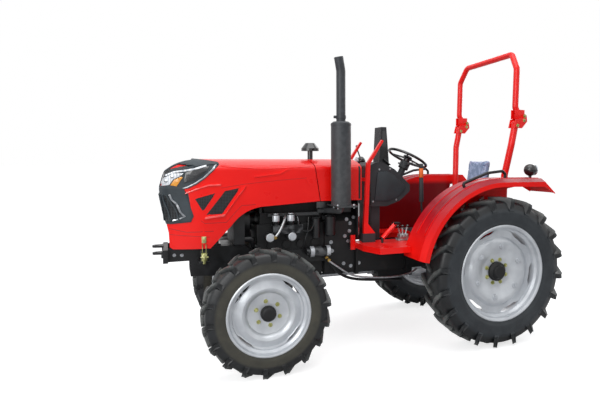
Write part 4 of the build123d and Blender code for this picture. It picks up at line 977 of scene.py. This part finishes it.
for label, side in SIDES.items():
    for part, (finish, lift, thick, corners) in LAMP_PARTS.items():
        panel(f"lamp_{part}_{label}", [corners], side_view(side), HOOD_SKIN, (lift, thick, (0.03, 0.03), 0.0015),
              finish)
    panel(f"lamp_strip_{label}", [(PALE_STRIP, (0.012, 0.006))], side_view(side), HOOD_SKIN,
          (0.005, 0.005, (0.03, 0), 0.0015), STEEL)
    bowls = bmesh.new()
    for x, z, radius in REFLECTORS:
        hit, normal, _, _ = HOOD_SKIN.ray_cast(*side_view(side)(x, z))
        rod(bowls, hit + normal * 0.004, hit + normal * 0.013, radius, tip=radius * 0.8, bevel=0.002)
    finish_piece(f"lamp_bowls_{label}", bowls, CHROME, 40, body="hood")
BROW = [(1.850, 0), (1.836, 0.272), (1.778, 0.316), (1.690, 0.322), (1.560, 0.298), (1.406, 0.272), (1.404, 0.232),
        (1.500, 0.170), (1.590, 0.110), (1.600, 0)]
panel("nose_brow", [BROW + [(x, -y) for x, y in reversed(BROW[1:-1])]], top_view, HOOD_SKIN,
      (0.0045, 0.007, (0.010, 0.012), 0.002), GUNMETAL)
print("lamps:", ", ".join(LAMP_PARTS), "with a pale strip and a brow")

# %% [markdown]
# ## Creases, vents and latch
# Pressed lines stiffen the thin hood. Raised ones are ribbons in the hood's own enamel, and
# sunken ones are thin lines of painted shade. The two vents on each side sit in a raised frame, painted paler as a
# highlight.

# %% Creases
RAISED = {
    "vent_frame": ([(1.196, 1.462), (1.276, 1.357), (1.361, 1.239), (1.512, 1.222)], (0.012, -0.018), 0.013),
    "vent_lip": ([(1.660, 1.416), (1.582, 1.446), (1.486, 1.478), (1.389, 1.482)], (0.006, -0.014), 0.011),
    "shoulder": ([(1.390, 1.619), (1.225, 1.608), (1.041, 1.598), (0.826, 1.607), (0.650, 1.614)], (0, 0.012), 0.005),
    "kink": ([(1.125, 1.528), (0.914, 1.552), (0.838, 1.590)], (0.003, 0.014), 0.008),
    "slant": ([(0.707, 1.530), (0.655, 1.452)], (0.006, 0), 0.003),
}
SUNKEN = {
    "belly": ([(1.549, 1.189), (1.521, 1.167), (1.354, 1.168), (1.272, 1.258), (1.231, 1.300), (1.118, 1.304)],
              (0.001, 0.006)),
    "waist": ([(1.389, 1.446), (1.208, 1.474), (0.936, 1.501), (0.685, 1.519)], (0, 0.004)),
    "nose_high": ([(1.786, 1.131), (1.656, 1.100), (1.454, 1.102)], (0, 0.006)),
    "nose_low": ([(1.787, 1.083), (1.647, 1.072), (1.484, 1.056)], (0, 0.005)),
}
VENTS = [[(1.590, 1.364), (1.438, 1.408), (1.536, 1.272)],
         [(1.508, 1.236), (1.361, 1.422), (1.252, 1.445), (1.378, 1.252)]]
for label, side in SIDES.items():
    # the vent beads take the paler red of a painted highlight
    for kind, finish in (("vent", HIGHLIGHT_RED), ("panel", RED)):
        beads = bmesh.new()
        for bead, (points, shift, height) in RAISED.items():
            if bead.startswith("vent") == (kind == "vent"):
                one = bmesh.new()
                ribbon(one, points, shift)
                lay(one, side_view(side), HOOD_SKIN, 0.0002, height, (0.05, 0), height * 0.4)
                pour(one, beads)
        finish_piece(f"hood_{kind}_beads_{label}", beads, finish, 40, body="hood")
    # the sunken lines are thin sheets of painted shade
    panel(f"hood_lines_{label}", SUNKEN.values(), side_view(side), HOOD_SKIN, (0.0002, 0.0006, (0.05, 0)),
          GROOVE_SHADE_RED)
    panel(f"hood_vents_{label}", VENTS, side_view(side), HOOD_SKIN, (0.0006, 0.0025, (0.04, 0.04), 0.001), MESH)
print("creases:", ", ".join(RAISED), "and", ", ".join(SUNKEN))

# %% Seals at the seams
COWL_EDGE = [(0.214, 1.332), (0.214, 1.616), (0.196, 1.616), (0.196, 1.332)]
for label, side in SIDES.items():
    seal = bmesh.new()
    slab(seal, (0.590, side * 0.244, 1.345), (0.604, side * 0.300, 1.600), 0.002,
         Matrix.Rotation(-0.21, 3, "Y"), (0.60, side * 0.27, 1.60))
    finish_piece(f"seam_seal_{label}", seal, HOSE)
for label, side in SIDES.items():
    panel(f"cowl_seal_{label}", [COWL_EDGE], side_view(side), COWL_SKIN, (0.0003, 0.003, (0, 0.05), 0.001),
          HOSE, 32, "chassis")
print("seals at the hood's seam and the cowl's rear")

# %% Draw latches
for label, side in SIDES.items():
    catch = bmesh.new()
    slab(catch, (1.512, side * 0.306, 1.012), (1.548, side * 0.316, 1.066), 0.003)
    rod(catch, (1.530, side * 0.312, 1.036), (1.530, side * 0.328, 1.036), 0.009, sides=16)
    finish_piece(f"latch_catch_{label}", catch, YELLOW_ZINC, body="hood")
    stay = bmesh.new()
    slab(stay, (1.490, side * 0.159, 0.852), (1.568, side * 0.306, 0.866), 0.002)
    slab(stay, (1.500, side * 0.296, 0.852), (1.560, side * 0.304, 0.952), 0.002)
    finish_piece(f"latch_stay_{label}", stay, BLACK)
    lever = bmesh.new()
    slab(lever, (1.508, side * 0.303, 0.868), (1.552, side * 0.322, 0.936), 0.005)
    slab(lever, (1.518, side * 0.318, 0.846), (1.542, side * 0.328, 0.930), 0.004)
    rod(lever, (1.500, side * 0.318, 0.900), (1.560, side * 0.318, 0.900), 0.006, sides=12)
    for x in (1.516, 1.544):
        rod(lever, (x, side * 0.320, 0.925), (x, side * 0.320, 1.005), 0.0035, sides=10)
    finish_piece(f"latch_lever_{label}", lever, YELLOW_ZINC)
bolts = bmesh.new()
for side in SIDES.values():
    for x, z in ((1.753, 0.904), (1.695, 0.900)):
        nut(bolts, x, side * 0.160, z, side, 0.010, 0.008)
finish_piece("bumper_bolts", bolts, STEEL)
print("a latch on each side, and the bumper's bolts")

# %% [markdown]
# ## Operator's place
# The solids give the console, the posts and the seat's base. Here the wheel gets a round
# ring, a hub and three arms, the levers get their grips, and the seat gets two real pads.

# %% Steering wheel
COLUMN = Vector((-math.cos(math.radians(63.5)), 0, math.sin(math.radians(63.5))))
HUB = Vector((-0.424, 0, 1.694))
RING_R, RING_THICK, RING_POINTS = 0.196, 0.0135, 12
ring = bmesh.new()
section = [2 * math.pi * k / RING_POINTS for k in range(RING_POINTS)]
spun(ring, [(RING_THICK * math.sin(a), RING_R + RING_THICK * math.cos(a)) for a in section], HUB, COLUMN, 96)
spun(ring, [(-0.036, 0), (-0.036, 0.032), (-0.008, 0.036), (0.004, 0.046), (0.014, 0.044), (0.020, 0.034),
            (0.021, 0)], HUB, COLUMN, 48)
across = Vector((0, 1, 0))
forward = COLUMN.cross(across)
for k in range(3):
    angle = math.radians(90 + 120 * k)
    out = across * math.cos(angle) + forward * math.sin(angle)
    rod(ring, HUB + out * 0.035 - COLUMN * 0.004, HUB + out * RING_R, 0.0095, tip=0.0075, sides=16)
wheel_ring = finish_piece("steering_wheel_round", ring, GLOSS, 40, body="steering_wheel")
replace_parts(wheel_ring, "steering_wheel")
stalks = bmesh.new()
base = HUB - COLUMN * 0.085
spun(stalks, [(-0.030, 0.0325), (-0.030, 0.050), (0.030, 0.050), (0.034, 0.046), (0.034, 0.0325)], base, COLUMN, 32)
for side in SIDES.values():
    tip = base + across * side * 0.150 + COLUMN * 0.030
    rod(stalks, base + across * side * 0.045, tip, 0.005, sides=12)
    rod(stalks, tip - across * side * 0.030 - COLUMN * 0.006, tip, 0.009, tip=0.008, sides=16, bevel=0.002)
finish_piece("column_stalks", stalks, CONSOLE, 40)
print("steering wheel:", len(wheel_ring.data.polygons), "faces")

# %% Levers and pedals
grips = bmesh.new()
rod(grips, (-0.4192, 0.300, 1.285), (-0.4146, 0.300, 1.510), 0.021, tip=0.019, bevel=0.004)
rod(grips, (-0.4134, 0.300, 1.598), (-0.4130, 0.300, 1.640), 0.021, tip=0.018, bevel=0.006)
finish_piece("lever_grips", grips, CONSOLE, 40)
band = bmesh.new()
rod(band, (-0.4146, 0.300, 1.511), (-0.4134, 0.300, 1.597), 0.0205, bevel=0.004)
finish_piece("lever_band", band, ORANGE, 40)
arms, treads = bmesh.new(), bmesh.new()
for y in (0.350, -0.330):
    rod(arms, (0.000, y, 0.975), (-0.128, y, 1.094), 0.023, sides=4, bevel=0.003)
    for k in range(4):
        x = -0.158 + 0.0135 * k
        slab(treads, (x, y - 0.032, 1.1068), (x + 0.007, y + 0.032, 1.1105), 0.001)
finish_piece("pedal_arms", arms, RED, 40)
finish_piece("pedal_treads", treads, HOSE, 40)
VALVE_AT = Vector((-0.235, 0.285, 0.931))
valve, knobs = bmesh.new(), bmesh.new()
slab(valve, VALVE_AT + Vector((-0.070, -0.035, 0)), VALVE_AT + Vector((0.060, 0.035, 0.012)), 0.003)
slab(valve, VALVE_AT + Vector((-0.045, -0.028, 0.010)), VALVE_AT + Vector((0.040, 0.028, 0.060)), 0.006)
for x, lean in ((-0.028, -0.020), (0.000, 0.004), (0.026, 0.026)):
    foot = VALVE_AT + Vector((x, 0, 0.055))
    rod(valve, foot, foot + Vector((lean, 0, 0.075)), 0.008, sides=12)
    rod(valve, foot + Vector((0, -0.036, -0.018)), foot + Vector((0, 0.036, -0.018)), 0.011, sides=16)
    top = Matrix.Translation(VALVE_AT + Vector((x + lean, 0, 0.130)))
    bmesh.ops.create_uvsphere(knobs, u_segments=20, v_segments=12, radius=0.014, matrix=top)
finish_piece("foot_valve", valve, ALLOY, 35)
finish_piece("foot_valve_knobs", knobs, GLOSS, 60)
print("grips, pedals and the foot valve")

# %% Console fairing and mirror fin's edge
CONSOLE_SKIN = skin_of("dash_console")
FAIRING = [(-0.020, 1.560), (-0.120, 1.568), (-0.205, 1.520), (-0.300, 1.430), (-0.300, 1.392), (-0.228, 1.330),
           (-0.118, 1.292), (0.010, 1.300)]
FIN_EDGE = [(-0.100, 1.700), (-0.118, 1.950), (-0.148, 1.950), (-0.168, 1.700)]
for label, side in SIDES.items():
    panel(f"console_fairing_{label}", [FAIRING], side_view(side), CONSOLE_SKIN, (0.0005, 0.012, (0, 0), 0.005),
          TRIM, body="chassis")
    panel(f"fin_panel_{label}", [FIN_EDGE], side_view(side), CONSOLE_SKIN, (0.0005, 0.004, (0, 0), 0.0015),
          GLOSS, body="chassis")
    screws = bmesh.new()
    for x, z in ((-0.040, 1.585), (-0.150, 1.590), (0.022, 1.290), (-0.215, 1.300)):
        rod(screws, (x, side * 0.184, z), (x, side * 0.189, z), 0.009, sides=16, bevel=0.0015)
    finish_piece(f"console_screws_{label}", screws, STEEL, 40)
dials = bmesh.new()
slab(dials, (-0.1610, -0.110, 1.610), (-0.1510, 0.110, 1.700), 0.004, Matrix.Rotation(math.radians(50), 3, "Y"))
finish_piece("dash_panel", dials, GLOSS, 40)
print("console fairing, fin and dash panel")


# %% Seat pads
def apply_all(piece):
    """Bakes the modifiers into the mesh."""
    seen = piece.evaluated_get(bpy.context.evaluated_depsgraph_get())
    data = bpy.data.meshes.new_from_object(seen)
    old = piece.data
    piece.modifiers.clear()
    piece.data = data
    bpy.data.meshes.remove(old)


def pad(name, low, high, cap, turn=None, pivot=None):
    """A cushion: a slightly small rounded box, puffed by cloth under pressure, then smoothed."""
    mesh = bmesh.new()
    slab(mesh, low, high, 0.022)
    if turn:
        bmesh.ops.rotate(mesh, verts=mesh.verts, cent=pivot, matrix=turn)
    data = bpy.data.meshes.new(name)
    mesh.to_mesh(data)
    mesh.free()
    piece = placed(name, data)
    remesh = piece.modifiers.new("voxels", "REMESH")
    remesh.mode = "VOXEL"
    remesh.voxel_size = 0.006
    apply_all(piece)
    rest = [v.co.copy() for v in piece.data.vertices]
    cloth = piece.modifiers.new("puff", "CLOTH")
    cloth.settings.use_pressure = True
    cloth.settings.uniform_pressure_force = 4
    cloth.settings.effector_weights.gravity = 0
    for step in range(1, 21):
        bpy.context.scene.frame_set(step)
    apply_all(piece)
    bpy.context.scene.frame_set(1)
    for v, start in zip(piece.data.vertices, rest):
        move = v.co - start
        if move.length > cap:
            v.co = start + move.normalized() * cap
    smooth = piece.modifiers.new("smooth", "SUBSURF")
    smooth.levels = smooth.render_levels = 1
    apply_all(piece)
    piece.data.materials.append(VINYL)
    for polygon in piece.data.polygons:
        polygon.use_smooth = True
    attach(piece, "chassis")
    return piece


BACK_LEAN, BACK_FOOT = Matrix.Rotation(math.radians(-8), 3, "Y"), (-1.190, 0, 1.270)
cushion = pad("seat_pad", (-1.165, -0.195, 1.172), (-0.790, 0.195, 1.252), 0.018)
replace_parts(cushion, "seat_cushions")
back = pad("seat_back_pad", (-1.236, -0.170, 1.272), (-1.188, 0.170, 1.684), 0.016, BACK_LEAN, BACK_FOOT)
shell = bmesh.new()
slab(shell, (-1.200, -0.185, 1.168), (-1.178, 0.185, 1.300), 0.006)
slab(shell, (-1.246, -0.150, 1.262), (-1.234, 0.150, 1.560), 0.005, BACK_LEAN, BACK_FOOT)
finish_piece("seat_shell", shell, CONSOLE, 40)
welts = bmesh.new()
for y in (-0.088, 0.088):
    slab(welts, (-1.130, y - 0.002, 1.2655), (-0.830, y + 0.002, 1.2690), 0.001)
finish_piece("seat_welts", welts, GLOSS, 40)
print("seat pads:", len(cushion.data.polygons), "and", len(back.data.polygons), "faces")

# %% [markdown]
# ## Fenders, roll bar and lamps
# The fenders are stiffened by pressed ribs that follow the wheel and then run straight back.
# The roll bar folds about two pins, and bolts clamp its plates.

# %% Fender ribs
REAR_AXLE = Vector((WHEELS["rear"]["x"], 0, WHEELS["rear"]["radius"]))
FENDER_SKIN = skin_of("fender_left", "fender_right")
RIBS, RIB_WIDE = [0.590, 0.728], 0.034


def arch_view(side):
    """Shapes drawn as (degrees above straight ahead, distance from the centre line) over a rear wheel."""
    def ray(u, v):
        out = Vector((math.cos(math.radians(u)), 0, math.sin(math.radians(u))))
        return REAR_AXLE + out * 1.2 + Vector((0, side * v, 0)), -out
    return ray


for label, side in SIDES.items():
    ribs = bmesh.new()
    for y in RIBS:
        arch, straight = bmesh.new(), bmesh.new()
        ribbon(arch, [(26, y), (90, y)], (0, RIB_WIDE))
        lay(arch, arch_view(side), FENDER_SKIN, 0.0002, 0.005, (4, 0), 0.0025)
        ribbon(straight, [(-0.961, side * y), (-1.370, side * y)], (0, side * RIB_WIDE))
        lay(straight, top_view, FENDER_SKIN, 0.0002, 0.005, (0, 0), 0.0025)
        pour(arch, ribs)
        pour(straight, ribs)
    finish_piece(f"fender_ribs_{label}", ribs, FENDER_RED, 50)
print("ribs at", RIBS)

# %% Roll bar hoop
HOOP_HALF, HOOP_TOP, TUBE_R, BEND = 0.480, 2.692, 0.029, 0.060
HINGE = Vector((-1.392, 0, 2.050))
spots = [HINGE + Vector((0, HOOP_HALF, 0.020)), HINGE + Vector((0.070, HOOP_HALF, 0.120)),
         Vector((HINGE.x + 0.062, HOOP_HALF, HOOP_TOP - 0.152)),
         Vector((HINGE.x + 0.040, HOOP_HALF - 0.100, HOOP_TOP))]
spots += [Vector((p.x, -p.y, p.z)) for p in reversed(spots)]
path = [spots[0]]
for before, corner, after in zip(spots, spots[1:], spots[2:]):
    path += rounded(before, corner, after, BEND, 8)
hoop = bmesh.new()
swept(hoop, path + [spots[-1]], TUBE_R, 32)
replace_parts(finish_piece("roll_bar_hoop", hoop, RED, body="roll_bar"), "rops_hoop")
ears = bmesh.new()
for side in SIDES.values():
    y = side * HOOP_HALF
    rod(ears, HINGE + Vector((0, y - 0.030, 0)), HINGE + Vector((0, y + 0.030, 0)), 0.024, sides=32, bevel=0.003)
    slab(ears, (-1.412, y - 0.024, 2.050), (-1.372, y + 0.024, 2.090), 0.004)
    for cheek in (y - 0.031, y + 0.025):
        slab(ears, (-1.408, cheek, 2.064), (-1.296, cheek + 0.006, 2.150), 0.002)
finish_piece("roll_bar_ears", ears, RED, 35, body="roll_bar")
print("hoop path:", len(path), "points")

# %% Roll bar bolts and lamp glasses
bolts = bmesh.new()
for side in SIDES.values():
    for x, z in ((-1.318, 2.000), (-1.392, 2.050), (-1.398, 2.092)):
        nut(bolts, x, side * (HOOP_HALF + 0.045), z, side, 0.012, 0.010)
        nut(bolts, x, side * (HOOP_HALF - 0.045), z, -side, 0.012, 0.010)
    nut(bolts, -1.205, side * 0.475, 0.930, side, 0.010, 0.008)
finish_piece("roll_bar_bolts", bolts, YELLOW_ZINC, 35)
glass = bmesh.new()
rod(glass, (-1.414, 0.650, 1.582), (-1.430, 0.650, 1.582), 0.043, tip=0.036, sides=32, bevel=0.003)
rod(glass, (-0.018, -0.350, 1.665), (-0.006, -0.350, 1.665), 0.034, tip=0.028, sides=32, bevel=0.002)
finish_piece("work_lamp_glass", glass, LENS, 40)
rims = bmesh.new()
spun(rims, [(-0.006, 0.040), (-0.006, 0.050), (0.004, 0.052), (0.004, 0.040)], (-1.412, 0.650, 1.582),
     (-1, 0, 0), 40)
spun(rims, [(-0.006, 0.031), (-0.006, 0.039), (0.003, 0.041), (0.003, 0.031)], (-0.020, -0.350, 1.665),
     (1, 0, 0), 40)
finish_piece("work_lamp_rims", rims, CHROME, 40)
print("roll bar bolts and lamp glasses")

# %% [markdown]
# ## Engine side and exhaust
# The solids carry the block, pump, filters and starter. Pipes, unions, bolts and clamps make
# the open engine readable, and a bulkhead closes the space behind it.

# %% Exhaust bands
MUFF = Vector((0.411, 0.404, 0))
bands = bmesh.new()
for low, high, radius in ((1.290, 1.302, 0.0875), (1.318, 1.324, 0.0865), (1.962, 1.974, 0.0870)):
    spun(bands, [(low, 0.0845), (high, 0.0845), (high, radius), (low, radius)], MUFF, (0, 0, 1), 64)
spun(bands, [(2.020, 0.0385), (2.046, 0.0385), (2.046, 0.0435), (2.020, 0.0435)], MUFF, (0, 0, 1), 48)
slab(bands, (0.446, 0.392, 2.022), (0.474, 0.416, 2.044), 0.003)
finish_piece("exhaust_bands", bands, MUFFLER, 35)
studs = bmesh.new()
for x, y in ((0.462, 0.362), (0.318, 0.300), (0.318, 0.470), (0.462, 0.470)):
    rod(studs, (x, y, 1.262), (x, y, 1.300), 0.007, sides=12)
    rod(studs, (x, y, 1.288), (x, y, 1.298), 0.012, sides=6)
finish_piece("exhaust_studs", studs, STEEL, 35)
print("exhaust bands and studs")

# %% Engine pipes and unions
PIPES = {
    "breather": ([(0.835, 0.160, 1.200), (0.850, 0.215, 1.185), (0.880, 0.236, 1.120), (0.915, 0.240, 1.050),
                  (0.945, 0.240, 1.020)], 0.0105, ALLOY),
    "dipstick": ([(0.690, 0.158, 0.870), (0.672, 0.185, 0.960), (0.640, 0.180, 1.060), (0.632, 0.165, 1.170)],
                 0.0070, BLACK),
    "return_line": ([(0.700, 0.220, 1.060), (0.640, 0.240, 1.040), (0.600, 0.230, 1.120), (0.575, 0.215, 1.150)],
                    0.0055, HOSE),
    "lift_line": ([(0.486, 0.225, 0.800), (0.430, 0.240, 0.730), (0.374, 0.205, 0.656), (0.250, 0.200, 0.590),
                   (0.067, 0.205, 0.566), (-0.150, 0.205, 0.552), (-0.267, 0.205, 0.540)], 0.0130, BLACK),
    "pressure_line": ([(0.470, 0.245, 0.780), (0.360, 0.250, 0.700), (0.250, 0.232, 0.625), (0.067, 0.232, 0.592),
                       (-0.200, 0.232, 0.575), (-0.380, 0.235, 0.610), (-0.410, 0.235, 0.645)], 0.0090, STEEL),
}
for name, (points, radius, finish) in PIPES.items():
    tube(name, points, radius, finish, 8)
for k in range(4):
    x = 0.735 + 0.060 * k
    line = [(x, 0.195, 1.138), (x, 0.196, 1.168), (x + 0.012, 0.186, 1.186), (x + 0.02, 0.158, 1.196)]
    tube(f"injection_line_{k}", line, 0.0042, STEEL, 6)
unions = bmesh.new()
for x, y, z in ((0.945, 0.238, 1.014), (0.835, 0.158, 1.200), (0.486, 0.222, 0.806), (0.470, 0.240, 0.786)):
    rod(unions, (x, y - 0.012, z), (x, y + 0.012, z), 0.015, sides=6)
finish_piece("pipe_unions", unions, BRASS, 35)
print("pipes:", ", ".join(PIPES), "and four injection lines")

# %% Bright covers, bowls and housing bolts
bowls = bmesh.new()
for x in (0.803, 0.934):
    spun(bowls, [(1.150, 0.0), (1.150, 0.0315), (1.1995, 0.0315), (1.2065, 0.027), (1.2175, 0.024), (1.2175, 0)],
         (x, 0.215, 0), (0, 0, 1), 32)
finish_piece("filter_bowls", bowls, SILVER, 40)
covers = bmesh.new()
for x in (0.796, 0.987):
    spun(covers, [(0.228, 0.0), (0.228, 0.036), (0.240, 0.036), (0.246, 0.030), (0.247, 0.0)], (x, 0, 1.014),
         (0, 1, 0), 40)
finish_piece("governor_covers", covers, SILVER, 40)
caps = bmesh.new()
for x in (0.470, 0.618):
    spun(caps, [(-0.017, 0.0), (-0.017, 0.0475), (0.017, 0.0475), (0.019, 0.044), (0.019, 0.0)], (x, 0.210, 0.868),
         (1, 0, 0), 40)
finish_piece("pump_caps", caps, SILVER, 40)
HOUSING_HALF, CASE_HALF = 0.150, 0.170   # where the housing and the gear case end sideways
HOUSING_BOLTS = [(0.204, 1.150), (0.271, 1.133), (0.237, 1.095), (0.243, 1.025), (0.287, 0.980), (0.256, 0.931),
                 (0.300, 0.727), (0.157, 0.726), (0.230, 0.700), (0.420, 0.930), (0.410, 0.850)]
bolts = bmesh.new()
for side in SIDES.values():
    for x, z in HOUSING_BOLTS:
        nut(bolts, x, side * (HOUSING_HALF if x > 0.18 else CASE_HALF), z, side, 0.0125, 0.012)
finish_piece("housing_bolts", bolts, STEEL, 35)
print("covers, bowls and", 2 * len(HOUSING_BOLTS), "housing bolts")

# %% Bulkhead and air cleaner
bulkhead = bmesh.new()
slab(bulkhead, (0.183, -0.236, 0.960), (0.197, 0.236, 1.350), 0.003)
slab(bulkhead, (0.445, -0.240, 1.206), (0.452, 0.130, 1.310), 0.002)
finish_piece("bulkhead", bulkhead, BLACK)
cleaner = bmesh.new()
rod(cleaner, (0.960, -0.215, 1.200), (1.200, -0.215, 1.200), 0.062, sides=40, bevel=0.006)
rod(cleaner, (0.945, -0.215, 1.200), (0.960, -0.215, 1.200), 0.048, sides=40)
finish_piece("air_cleaner", cleaner, GLOSS, 40)
tube("coolant_hose", [(1.200, -0.150, 1.060), (1.130, -0.180, 1.055), (1.060, -0.180, 1.060), (1.000, -0.160, 1.050)],
     0.026, HOSE, 8)
print("bulkhead behind the engine, air cleaner beside it")
